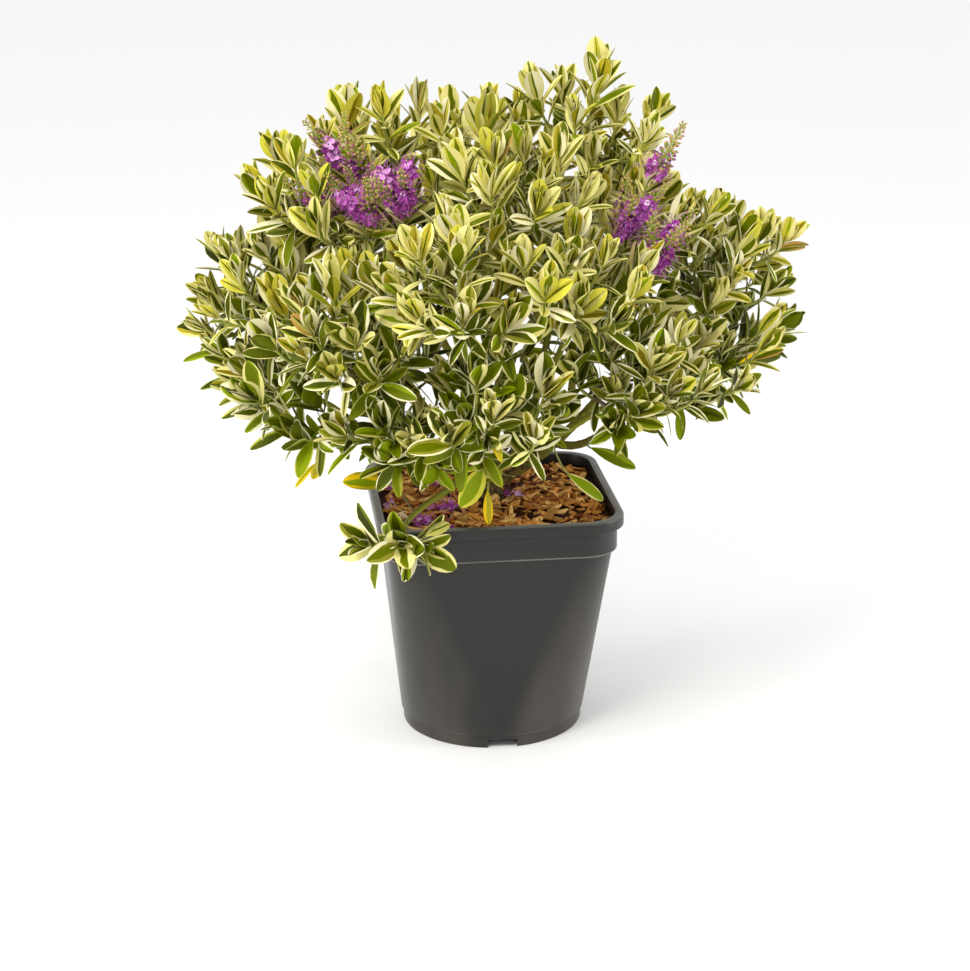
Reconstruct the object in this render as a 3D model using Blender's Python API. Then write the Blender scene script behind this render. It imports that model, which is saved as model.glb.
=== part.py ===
"""A potted hebe: a rounded evergreen shrub in a square-topped nursery pot.

Metres, +Z up. The origin is the centre of the pot's underside, on the surface that
it stands on. The pot's sides face +-X and +-Y, and the plant's front is -Y.
The plant is a short trunk, one bough for each mass of foliage, and the masses. A mass
is twigs that branch from one stem, with opposite pairs of leaves fused on.
"""
import math
import random
from collections import namedtuple

import bmesh
import bpy
from mathutils import Matrix, Vector
from mathutils.bvhtree import BVHTree

# Gaps
GAP = 0.0003                      # between pieces that touch
LEAF_CLEARANCE = 0.0008           # between foliage and any limb
SPACE_MARGIN = 0.0006             # from a mass to the edge of its own space
POT_CLEARANCE = 0.0040            # between foliage and the pot

# Pot
POT_HEIGHT = 0.2512
LIP_HALF, LIP_CORNER, LIP_HEIGHT = 0.1250, 0.0392, 0.0122
COLLAR_HALF, COLLAR_HEIGHT = 0.1191, 0.0260
BODY_TOP_HALF, BODY_TOP_CORNER = 0.1150, 0.0360
BODY_FOOT_HALF = 0.0968
FOOT_HALF, FOOT_HEIGHT = 0.0945, 0.0145
FOOT_WALL, FOOT_CHAMFER = 0.0042, 0.0012
WALL = 0.0024
FLOOR_BOTTOM, FLOOR_THICKNESS = 0.0100, 0.0028
LIP_BOTTOM = POT_HEIGHT - LIP_HEIGHT
LIP_UNDERCUT, LIP_ROUND = 0.0004, 0.0014
COLLAR_BOTTOM = LIP_BOTTOM - COLLAR_HEIGHT
COLLAR_CORNER, COLLAR_UNDERCUT = 0.0376, 0.0006
SHELF, SHELF_DROP = COLLAR_BOTTOM + WALL, 0.0010     # the step inside, behind the collar
RING_STEPS_IN_CORNER = 8
NOTCH_COUNT, NOTCH_WIDTH, NOTCH_HEIGHT = 3, 0.0310, 0.0090
DRAIN_COUNT, DRAIN_RADIUS, DRAIN_CIRCLE, DRAIN_SIDES = 5, 0.0065, 0.0640, 8
CUTTER_DEPTH = 0.0200

# Filling of the pot
SOIL_TOP = 0.2220
MULCH_EDGE, MULCH_CROWN = 0.2385, 0.2460
MULCH_BUMP = 0.0026
MULCH_RINGS, MULCH_SIDES = 5, 36

# Trunk
TRUNK_FOOT = SOIL_TOP + GAP
TRUNK_TOP = 0.2900
TRUNK_LENGTH = TRUNK_TOP - TRUNK_FOOT
TRUNK_FOOT_RADIUS, TRUNK_NECK_RADIUS, TRUNK_TOP_RADIUS = 0.0230, 0.0150, 0.0118
FLARE_HEIGHT = 0.0140
TRUNK_LEAN = Vector((-0.0080, -0.0040, 0.0))
TRUNK_RINGS, TRUNK_SIDES = 8, 15
FLARE_LOBES, FLARE_LOBE_DEPTH = 5, 0.10
RING_CROWDING = 1.4               # draws the trunk's rings together at its foot
LOWER_TIER, UPPER_TIER = 0.2590, 0.2770
LOWER_BOUGHS = ("left_upper", "front_centre", "right_tip", "back_centre")

# Boughs
BOUGH_TIP_RADIUS, BOUGH_TAPER = 0.0026, 0.8
BOUGH_STEPS = (0.0, 0.06, 0.34, 0.66, 0.94, 1.0)
BOUGH_SWEEP = 0.38                # handles of a bough's curve, as a share of its span
BOUGH_END = 0.66                  # from a mass's centre to its bough, as a share of its size
FORK_TILT = math.radians(28)
SEATING_ROUNDS, SEATING_REACH, SEATING_SAMPLES = 3, 0.0160, 24
GUARD_SIDES, GUARD_LEVELS, GUARD_SWELL = 8, 4, 1.06
TOP_OF_TRUNK = "top"

# Foliage
TWIG_SIDES = 3
STEM_RADIUS, STEM_TAPER = 0.0028, 0.85
STEM_REACH = 0.45                 # share of the way to the centre that the stem goes
STEM_JOINTS = (0.55, 0.93)        # where shoots leave it
SHOOT_RADIUS = 0.0015
SHOOT_PROFILE = (0.6, 1.1, 1.0)   # of that radius, at its start, bend and end
SHOOT_STRAIGHT, SHOOT_STRAIGHT_SHARE = 0.0180, 0.45
SHOOT_JOINT = 0.7                 # where further shoots leave one, besides its bend
SHOOT_OUTWARD, SHOOT_UPWARD, SHOOT_ONWARD = 0.62, 0.38, 0.35
AXIS_RISE = 0.75                  # tilt of the shoots' spread, as a share of the bough's
SHOOT_FAN, FIRST_SHOOT = 1.45, 0.35
SHOOT_REACH = (0.38, 0.46)        # from the centre to a shoot's tip, as a share of the size
TURN_JITTER = 0.25
LEAF_LENGTH, LEAF_WIDTH, LEAF_THICKNESS = 0.0620, 0.0300, 0.0018
LEAF_CUP = 0.0040
LEAF_WIDEST, LEAF_THICKEST = 0.54, 0.34
PAIRS, PAIR_SPACING = 2, 0.0160
TIP_SPREAD, SPREAD_STEP = math.radians(32), math.radians(32)
LEAN_JITTER, TWIST_JITTER = 0.15, 0.30
TRIES, SHORTER_EACH_TRY = 8, 0.05
GOLDEN_ANGLE = math.radians(137.508)
RACEME_LENGTH, RACEME_RADIUS, RACEME_SIDES = 0.0520, 0.0085, 5
RACEME_PROFILE = ((0.0, 0.10), (0.48, 1.0), (1.0, 0.20))
RACEME_UPWARD = 0.6
SEED = 11

# One row for each mass: where its centre is (degrees from +X, metres from the axis and
# above the floor), how big it is, how steeply its bough enters it in degrees, the limb
# that its bough leaves, where on that limb (a fraction, or degrees round the trunk),
# the radius that the bough starts with, its shoots, and its spikes of flowers.
Mass = namedtuple("Mass", "name azimuth reach height size rise limb fork radius shoots spikes")
MASSES = (
    Mass("centre_top", 80, 0.020, 0.586, 0.090, 84, "trunk", TOP_OF_TRUNK, 0.0074, 5, 0),
    Mass("left_upper", 172, 0.228, 0.464, 0.090, 45, "trunk", 178, 0.0064, 5, 0),
    Mass("front_centre", -108, 0.192, 0.512, 0.090, 60, "trunk", -104, 0.0060, 5, 0),
    Mass("right_tip", -2, 0.235, 0.484, 0.090, 45, "trunk", -8, 0.0064, 5, 0),
    Mass("back_centre", 92, 0.188, 0.480, 0.090, 55, "trunk", 92, 0.0058, 5, 0),
    Mass("front_left", -141, 0.208, 0.452, 0.088, 52, "trunk", -143, 0.0058, 5, 0),
    Mass("front_right", -76, 0.190, 0.510, 0.090, 60, "trunk", -56, 0.0060, 5, 0),
    Mass("back_right", 44, 0.210, 0.490, 0.090, 52, "trunk", 45, 0.0058, 5, 0),
    Mass("back_left", 137, 0.212, 0.488, 0.090, 52, "trunk", 138, 0.0058, 5, 0),
    Mass("left_low", 178, 0.232, 0.376, 0.088, 22, "left_upper", 0.30, 0.0046, 5, 0),
    Mass("left_foot", -162, 0.186, 0.334, 0.078, 10, "left_upper", 0.16, 0.0042, 5, 0),
    Mass("upper_left", -168, 0.166, 0.570, 0.088, 62, "left_upper", 0.44, 0.0044, 5, 4),
    Mass("top_left", 150, 0.104, 0.594, 0.088, 74, "centre_top", 0.30, 0.0048, 5, 2),
    Mass("top_peak", 12, 0.110, 0.620, 0.090, 78, "centre_top", 0.42, 0.0050, 5, 0),
    Mass("upper_front", -80, 0.112, 0.578, 0.086, 74, "centre_top", 0.20, 0.0046, 5, 0),
    Mass("upper_back", 86, 0.118, 0.584, 0.086, 74, "centre_top", 0.54, 0.0044, 5, 0),
    Mass("front_left_low", -124, 0.200, 0.360, 0.082, 26, "front_left", 0.34, 0.0042, 5, 0),
    Mass("drooping_shoot", -126, 0.203, 0.254, 0.060, -18, "front_left", 0.10, 0.0040, 3, 0),
    Mass("front_low", -95, 0.204, 0.396, 0.086, 34, "front_centre", 0.34, 0.0044, 5, 0),
    Mass("front_right_low", -52, 0.206, 0.404, 0.088, 34, "front_right", 0.32, 0.0044, 5, 0),
    Mass("right_upper", -12, 0.166, 0.544, 0.088, 62, "right_tip", 0.40, 0.0044, 5, 4),
    Mass("right_low", -12, 0.236, 0.396, 0.090, 26, "right_tip", 0.28, 0.0046, 5, 0),
    Mass("back_right_low", 52, 0.226, 0.366, 0.088, 26, "back_right", 0.30, 0.0044, 5, 0),
    Mass("back_left_low", 124, 0.222, 0.366, 0.088, 26, "back_left", 0.30, 0.0044, 5, 0),
)

Limb = namedtuple("Limb", "points radii")


def clear_scene():
    """Removes what the file opened with."""
    for item in list(bpy.data.objects):
        bpy.data.objects.remove(item, do_unlink=True)


def new_collection(name):
    """A collection in the scene."""
    group = bpy.data.collections.new(name)
    bpy.context.scene.collection.children.link(group)
    return group


def material(name, colour, roughness):
    """A plain Principled material."""
    mat = bpy.data.materials.new(name)
    mat.use_nodes = True
    shader = mat.node_tree.nodes["Principled BSDF"]
    shader.inputs["Base Color"].default_value = (*colour, 1.0)
    shader.inputs["Roughness"].default_value = roughness
    shader.inputs["Metallic"].default_value = 0.0
    return mat


def add_object(name, mesh, group, mat=None, smooth=False):
    """Links a mesh or curve as a named object."""
    item = bpy.data.objects.new(name, mesh)
    group.objects.link(item)
    if mat:
        mesh.materials.append(mat)
    if smooth:
        mesh.shade_smooth()
        mesh.set_sharp_from_angle(angle=math.radians(35))
    return item


def make_cutter(item, group):
    """Puts an object among the cutters, out of sight."""
    for owner in list(item.users_collection):
        owner.objects.unlink(item)
    group.objects.link(item)
    item.hide_render = True
    item.display_type = "WIRE"


def cut(item, cutter):
    """Cuts a piece with a cutter."""
    boolean = item.modifiers.new("cut_" + cutter.name, "BOOLEAN")
    boolean.operation = "DIFFERENCE"
    boolean.solver = "EXACT"
    boolean.object = cutter


def loft(rings, closed=False):
    """Points and faces through rings of equal counts, capped, or closed back on the first."""
    count = len(rings[0])
    points = [point for ring in rings for point in ring]
    spans = len(rings) if closed else len(rings) - 1
    faces = []
    for low in range(spans):
        high = (low + 1) % len(rings)
        for i in range(count):
            j = (i + 1) % count
            faces.append((low * count + i, low * count + j, high * count + j, high * count + i))
    if not closed:
        faces.append(tuple(reversed(range(count))))
        faces.append(tuple(range(len(points) - count, len(points))))
    return points, faces


def mesh_of(name, points, faces):
    """A closed mesh with its faces turned out."""
    mesh = bpy.data.meshes.new(name)
    mesh.from_pydata(points, [], faces)
    shape = bmesh.new()
    shape.from_mesh(mesh)
    bmesh.ops.recalc_face_normals(shape, faces=shape.faces)
    shape.to_mesh(mesh)
    shape.free()
    return mesh


def tube_rings(points, radii, sides):
    """Rings along a line of points, turned as little as possible from one to the next."""
    side = (points[1] - points[0]).orthogonal()
    last = len(points) - 1
    rings = []
    for i, (point, radius) in enumerate(zip(points, radii)):
        heading = (points[min(i + 1, last)] - points[max(i - 1, 0)]).normalized()
        side = (side - heading * side.dot(heading)).normalized()
        other = heading.cross(side)
        turns = [k * math.tau / sides for k in range(sides)]
        rings.append([point + (side * math.cos(a) + other * math.sin(a)) * radius for a in turns])
    return rings


def rounded_square(half, corner, height):
    """One ring: a square with rounded corners, or a circle where corner equals half."""
    points = []
    for quarter in range(4):
        turn = Matrix.Rotation(quarter * math.pi / 2, 4, "Z")
        for step in range(RING_STEPS_IN_CORNER):
            angle = (step + 0.5) / RING_STEPS_IN_CORNER * math.pi / 2
            x = half - corner + corner * math.cos(angle)
            y = half - corner + corner * math.sin(angle)
            points.append(turn @ Vector((x, y, height)))
    return points


def between(low, high, height, z_low, z_high):
    """Straight-line value at a height."""
    return low + (high - low) * (height - z_low) / (z_high - z_low)


def outer_body(height):
    """Half width and corner radius of the pot's body outside, round below, square above."""
    half = between(BODY_FOOT_HALF, BODY_TOP_HALF, height, FOOT_HEIGHT, COLLAR_BOTTOM)
    corner = between(BODY_FOOT_HALF, BODY_TOP_CORNER, height, FOOT_HEIGHT, COLLAR_BOTTOM)
    return half, min(corner, half)


def inner_wall(height):
    """Half width and corner radius of the pot's inside."""
    if height >= SHELF:
        half, corner = COLLAR_HALF, COLLAR_CORNER
    else:
        half, corner = outer_body(max(height, FOOT_HEIGHT))
    return half - WALL, corner - WALL


def make_pot(group, cutters):
    """The moulded pot: foot ring, body, collar and lip outside, a plain wall inside."""
    foot_inside = FOOT_HALF - FOOT_WALL
    rings = [rounded_square(foot_inside, foot_inside, FLOOR_BOTTOM),
             rounded_square(foot_inside, foot_inside, 0.0),
             rounded_square(FOOT_HALF, FOOT_HALF, 0.0),
             rounded_square(FOOT_HALF, FOOT_HALF, FOOT_HEIGHT - FOOT_CHAMFER)]
    rings += [rounded_square(*outer_body(z), z) for z in (FOOT_HEIGHT, COLLAR_BOTTOM)]
    rings += [rounded_square(COLLAR_HALF, COLLAR_CORNER, COLLAR_BOTTOM + COLLAR_UNDERCUT),
              rounded_square(COLLAR_HALF, COLLAR_CORNER, LIP_BOTTOM),
              rounded_square(LIP_HALF, LIP_CORNER, LIP_BOTTOM + LIP_UNDERCUT),
              rounded_square(LIP_HALF, LIP_CORNER, POT_HEIGHT - LIP_ROUND),
              rounded_square(LIP_HALF - LIP_ROUND, LIP_CORNER - LIP_ROUND, POT_HEIGHT)]
    inside = (POT_HEIGHT, SHELF, SHELF - SHELF_DROP, FLOOR_BOTTOM + FLOOR_THICKNESS)
    rings += [rounded_square(*inner_wall(z), z) for z in inside]
    pot = add_object("pot", mesh_of("pot", *loft(rings)), group,
                     material("moulded_pot", (0.045, 0.045, 0.043), 0.42), smooth=True)
    for number in range(NOTCH_COUNT):
        turn = -math.pi / 2 + number * 2 * math.pi / NOTCH_COUNT
        bpy.ops.mesh.primitive_cube_add(size=1.0)
        block = bpy.context.object
        block.name = f"notch_{number}"
        block.scale = (CUTTER_DEPTH, NOTCH_WIDTH, NOTCH_HEIGHT * 2)
        block.location = (FOOT_HALF * math.cos(turn), FOOT_HALF * math.sin(turn), 0.0)
        block.rotation_euler.z = turn
        make_cutter(block, cutters)
        cut(pot, block)
    for number in range(DRAIN_COUNT):
        turn = number * 2 * math.pi / DRAIN_COUNT
        bpy.ops.mesh.primitive_cylinder_add(vertices=DRAIN_SIDES, radius=DRAIN_RADIUS,
                                            depth=CUTTER_DEPTH)
        drill = bpy.context.object
        drill.name = f"drain_{number}"
        drill.location = (DRAIN_CIRCLE * math.cos(turn), DRAIN_CIRCLE * math.sin(turn),
                          FLOOR_BOTTOM)
        make_cutter(drill, cutters)
        cut(pot, drill)


def make_compost(group):
    """The root ball, which fills the pot up to the soil's level."""
    shelf = SHELF - SHELF_DROP
    rings = []
    for z in (FLOOR_BOTTOM + FLOOR_THICKNESS + GAP, shelf, SOIL_TOP):
        half, corner = inner_wall(min(z, shelf))
        rings.append(rounded_square(half - GAP, corner - GAP, z))
    add_object("compost", mesh_of("compost", *loft(rings)), group,
               material("moist_compost", (0.035, 0.022, 0.014), 0.95))


def mulch_height(fraction, noise):
    """Height of the mulch from its edge, where the fraction is 1, to the trunk, at 0."""
    swell = 1.0 - fraction * fraction
    return MULCH_EDGE + (MULCH_CROWN - MULCH_EDGE) * swell + noise.uniform(-1, 1) * MULCH_BUMP


def trunk_radius(height):
    """Radius of the trunk: a root flare at the foot, then an even taper."""
    up = (height - TRUNK_FOOT) / TRUNK_LENGTH
    flare = (TRUNK_FOOT_RADIUS - TRUNK_NECK_RADIUS) * math.exp(-(height - TRUNK_FOOT) / FLARE_HEIGHT)
    return TRUNK_NECK_RADIUS + (TRUNK_TOP_RADIUS - TRUNK_NECK_RADIUS) * up + flare


def trunk_centre(height):
    """Centre of the trunk, which leans a little."""
    up = (height - TRUNK_FOOT) / TRUNK_LENGTH
    return TRUNK_LEAN * up + Vector((0, 0, height))


def square_reach(angle, half, corner):
    """Distance from the middle of a rounded square to its edge."""
    across, along = abs(math.cos(angle)), abs(math.sin(angle))
    straight = half / max(across, along)
    inset = half - corner
    if straight * min(across, along) <= inset:
        return straight
    toward = inset * (across + along)
    return toward + math.sqrt(toward * toward - 2 * inset * inset + corner * corner)


def make_mulch(group):
    """Bark chips over the soil, as one bumpy layer round the trunk."""
    noise = random.Random(SEED)
    half, corner = inner_wall(POT_HEIGHT)

    def ring(fraction, bottom=False):
        points = []
        for i in range(MULCH_SIDES):
            angle = i * math.tau / MULCH_SIDES
            height = SOIL_TOP + GAP if bottom else mulch_height(fraction, noise)
            outward = Vector((math.cos(angle), math.sin(angle), 0))
            edge = outward * square_reach(angle, half - GAP, corner - GAP)
            hole = (trunk_radius(height) + GAP) / math.cos(math.pi / MULCH_SIDES)
            inner = trunk_centre(height) + outward * hole
            place = inner.lerp(edge, fraction)
            place.z = height
            points.append(place)
        return points

    rings = [ring(0.0, bottom=True), ring(1.0, bottom=True)]
    rings += [ring(1.0 - step / MULCH_RINGS) for step in range(MULCH_RINGS + 1)]
    add_object("bark_mulch", mesh_of("bark_mulch", *loft(rings, closed=True)), group,
               material("bark_chips", (0.33, 0.14, 0.055), 0.9))


def make_trunk(group, bark):
    """The short trunk, cut flat at the soil, with lobes where its roots set off."""
    rings = []
    for level in range(TRUNK_RINGS):
        height = TRUNK_FOOT + TRUNK_LENGTH * (level / (TRUNK_RINGS - 1)) ** RING_CROWDING
        radius = trunk_radius(height)
        lobe = FLARE_LOBE_DEPTH * math.exp(-(height - TRUNK_FOOT) / FLARE_HEIGHT)
        ring = []
        for i in range(TRUNK_SIDES):
            angle = i * 2 * math.pi / TRUNK_SIDES
            out = radius * (1.0 - lobe + lobe * math.cos(FLARE_LOBES * angle))
            ring.append(trunk_centre(height) + Vector((out * math.cos(angle), out * math.sin(angle), 0)))
        rings.append(ring)
    return add_object("trunk", mesh_of("trunk", *loft(rings)), group, bark, smooth=True)


def trunk_limb():
    """Centre line and radii of the trunk."""
    levels = [TRUNK_FOOT + TRUNK_LENGTH * i / GUARD_LEVELS for i in range(GUARD_LEVELS + 1)]
    return Limb([trunk_centre(z) for z in levels], [trunk_radius(z) for z in levels])


def direction(azimuth, rise):
    """A unit vector from degrees round and degrees up."""
    turn, up = math.radians(azimuth), math.radians(rise)
    return Vector((math.cos(up) * math.cos(turn), math.cos(up) * math.sin(turn), math.sin(up)))


def centre_of(mass):
    """Centre of a mass's space."""
    return direction(mass.azimuth, 0) * mass.reach + Vector((0, 0, mass.height))


def bough_tip(mass):
    """Where the bough ends, just inside its mass."""
    return centre_of(mass) - direction(mass.azimuth, mass.rise) * mass.size * BOUGH_END


def bezier(start, first, second, end, t):
    """A point on a cubic curve."""
    u = 1 - t
    return start * u ** 3 + first * 3 * t * u * u + second * 3 * t * t * u + end * t ** 3


def fork_start(centre, tangent, parent_radius, toward, radius, slack):
    """Start point and direction of a limb that leaves another at its side."""
    side = (toward - tangent * toward.dot(tangent)).normalized()
    heading = side * math.cos(FORK_TILT) + tangent * math.sin(FORK_TILT)
    offset = parent_radius + GAP + radius * math.sin(FORK_TILT) - slack
    return centre + side * offset, heading


def bough_limb(mass, limbs, slack):
    """Centre line and radii of the bough that carries a mass, set closer by the slack."""
    tip = bough_tip(mass)
    arrival = direction(mass.azimuth, mass.rise)
    if mass.fork == TOP_OF_TRUNK:
        start, heading = trunk_centre(TRUNK_TOP + GAP), Vector((0, 0, 1))
    elif mass.limb == "trunk":
        tier = LOWER_TIER if mass.name in LOWER_BOUGHS else UPPER_TIER
        start, heading = fork_start(trunk_centre(tier), Vector((0, 0, 1)), trunk_radius(tier),
                                    direction(mass.fork, 0), mass.radius, slack)
    else:
        parent = limbs[mass.limb]
        place = mass.fork * (len(parent.points) - 1)
        index = int(place)
        share = place - index
        centre = parent.points[index].lerp(parent.points[index + 1], share)
        tangent = (parent.points[index + 1] - parent.points[index]).normalized()
        thick = parent.radii[index] + (parent.radii[index + 1] - parent.radii[index]) * share
        start, heading = fork_start(centre, tangent, thick, tip - centre, mass.radius, slack)
    reach = (tip - start).length * BOUGH_SWEEP
    points, radii = [], []
    for t in BOUGH_STEPS:
        points.append(bezier(start, start + heading * reach, tip - arrival * reach, tip, t))
        radii.append(mass.radius + (BOUGH_TIP_RADIUS - mass.radius) * t ** BOUGH_TAPER)
    return Limb(points, radii)


def make_bough(mass, limb, group, bark):
    """One tapering limb, as a bevelled curve."""
    curve = bpy.data.curves.new("bough_" + mass.name, "CURVE")
    curve.dimensions = "3D"
    curve.bevel_depth = mass.radius
    curve.bevel_resolution = 1
    curve.use_fill_caps = True
    spline = curve.splines.new("POLY")
    spline.points.add(len(limb.points) - 1)
    for place, point, radius in zip(spline.points, limb.points, limb.radii):
        place.co = (*point, 1.0)
        place.radius = radius / mass.radius
    return add_object("bough_" + mass.name, curve, group, bark)


def shape_of(item):
    """An object's points and faces as they are seen."""
    bpy.context.view_layer.update()
    seen = item.evaluated_get(bpy.context.evaluated_depsgraph_get())
    mesh = bpy.data.meshes.new_from_object(seen)
    points = [item.matrix_world @ vert.co for vert in mesh.vertices]
    faces = [tuple(face.vertices) for face in mesh.polygons]
    bpy.data.meshes.remove(mesh)
    return points, faces


def gap_between(shape, other, near):
    """Distance between two shapes, measured along the edges of the first near a place."""
    points, faces = shape
    tree = BVHTree.FromPolygons(*other)
    gaps = []
    for face in faces:
        for a, b in zip(face, face[1:] + face[:1]):
            for step in range(SEATING_SAMPLES):
                place = points[a].lerp(points[b], step / SEATING_SAMPLES)
                if (place - near).length < SEATING_REACH:
                    gaps.append(tree.find_nearest(place)[3])
    return min(gaps)


def seat_bough(mass, limbs, shapes, group, bark):
    """Makes a bough and brings its foot up to the limb that carries it."""
    slack = 0.0
    carrier = shapes[mass.limb]
    for _ in range(SEATING_ROUNDS):
        limb = bough_limb(mass, limbs, slack)
        item = make_bough(mass, limb, group, bark)
        shape = shape_of(item)
        bpy.data.objects.remove(item, do_unlink=True)
        foot = limb.points[0]
        slack += min(gap_between(shape, carrier, foot), gap_between(carrier, shape, foot)) - GAP
    limbs[mass.name] = bough_limb(mass, limbs, slack)
    shapes[mass.name] = shape_of(make_bough(mass, limbs[mass.name], group, bark))


def guard(limb):
    """The skin of a limb, a little fat, that foliage is tested against."""
    radii = [radius * GUARD_SWELL + LEAF_CLEARANCE for radius in limb.radii]
    return BVHTree.FromPolygons(*loft(tube_rings(limb.points, radii, GUARD_SIDES)))


class Space:
    """The room that one mass keeps to: its ball, less what is nearer to another mass."""

    def __init__(self, mass, guards):
        self.centre = centre_of(mass)
        self.size = mass.size
        self.guards = guards
        self.walls = []
        for other in MASSES:
            if other is not mass:
                away = centre_of(other) - self.centre
                apart = away.length
                share = (apart * apart + mass.size ** 2 - other.size ** 2) / (2 * apart)
                self.walls.append((away / apart, share - SPACE_MARGIN))

    def holds(self, points):
        """Whether points are in the ball, on this side of every wall and off the pot."""
        for point in points:
            place = point - self.centre
            if place.length > self.size:
                return False
            if any(place.dot(normal) > reach for normal, reach in self.walls):
                return False
        side = LIP_HALF + POT_CLEARANCE
        top = POT_HEIGHT + POT_CLEARANCE
        return (all(p.z > top for p in points) or all(p.y < -side for p in points)
                or all(p.y > side for p in points) or all(p.x < -side for p in points)
                or all(p.x > side for p in points))

    def clear(self, tree, grown):
        """Whether a shape keeps off every limb and off what has grown in the mass."""
        return not any(tree.overlap(other) for other in self.guards + grown)


def leaf_matrix(root, outward, inward, length):
    """Takes the plain leaf (along Z, wide in X, upper side +Y) to its place and length."""
    along = outward.normalized()
    face = (inward - along * inward.dot(along)).normalized()
    frame = Matrix((face.cross(along), face, along)).transposed().to_4x4()
    frame.translation = root
    return frame @ Matrix.Scale(length / LEAF_LENGTH, 4)


def plain_leaf():
    """A cupped leaf of eight faces, shaped from the coarsest sphere."""
    shape = bmesh.new()
    bmesh.ops.create_uvsphere(shape, u_segments=4, v_segments=2, radius=1.0)
    for vert in shape.verts:
        x, y, z = (round(value) for value in vert.co)
        if z:
            vert.co = (0.0, 0.0, LEAF_LENGTH if z > 0 else 0.0)
        elif x:
            vert.co = (x * LEAF_WIDTH / 2, LEAF_CUP, LEAF_LENGTH * LEAF_WIDEST)
        else:
            vert.co = (0.0, y * LEAF_THICKNESS / 2, LEAF_LENGTH * LEAF_THICKEST)
    mesh = bpy.data.meshes.new("leaf")
    shape.to_mesh(mesh)
    shape.free()
    return mesh


def shoot_tips(mass, chance):
    """Places for the tips of the shoots, spread over the outer side of the mass."""
    axis = direction(mass.azimuth, max(mass.rise, 0) * AXIS_RISE)
    side = axis.orthogonal().normalized()
    other = axis.cross(side)
    turn = chance.uniform(0, math.tau)
    tips = []
    for i in range(mass.shoots):
        away = math.acos(1 - SHOOT_FAN * (i + FIRST_SHOOT) / mass.shoots)
        turn += GOLDEN_ANGLE + chance.uniform(-TURN_JITTER, TURN_JITTER)
        spread = side * math.cos(turn) + other * math.sin(turn)
        reach = mass.size * chance.uniform(*SHOOT_REACH)
        tips.append(centre_of(mass) + (axis * math.cos(away) + spread * math.sin(away)) * reach)
    return tips


def fuse(name, pieces, workshop):
    """Joins the pieces of a mass into one mesh: the largest body, without loose scraps.

    The exact solver leaves open edges on so many thin crossings, so this is the other one.
    """
    base = pieces[0]
    boolean = base.modifiers.new("join", "BOOLEAN")
    boolean.operation = "UNION"
    boolean.solver = "MANIFOLD"
    boolean.operand_type = "COLLECTION"
    boolean.collection = workshop
    workshop.objects.unlink(base)
    bpy.context.scene.collection.objects.link(base)
    bpy.context.view_layer.update()
    seen = base.evaluated_get(bpy.context.evaluated_depsgraph_get())
    joined = bpy.data.meshes.new_from_object(seen)
    for item in pieces:
        bpy.data.objects.remove(item, do_unlink=True)
    shape = bmesh.new()
    shape.from_mesh(joined)
    bodies, waiting = [], set(shape.faces)
    while waiting:
        body, front = set(), [waiting.pop()]
        while front:
            face = front.pop()
            body.add(face)
            seams = [edge for edge in face.edges if len(edge.link_faces) == 2]
            near = {other for edge in seams for other in edge.link_faces} & waiting
            waiting -= near
            front.extend(near)
        bodies.append(body)
    largest = max(bodies, key=len)
    loose = [face for face in shape.faces if face not in largest]
    bmesh.ops.delete(shape, geom=loose, context="FACES")
    bmesh.ops.triangulate(shape, faces=shape.faces)
    shape.to_mesh(joined)
    shape.free()
    joined.name = name
    return joined


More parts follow.
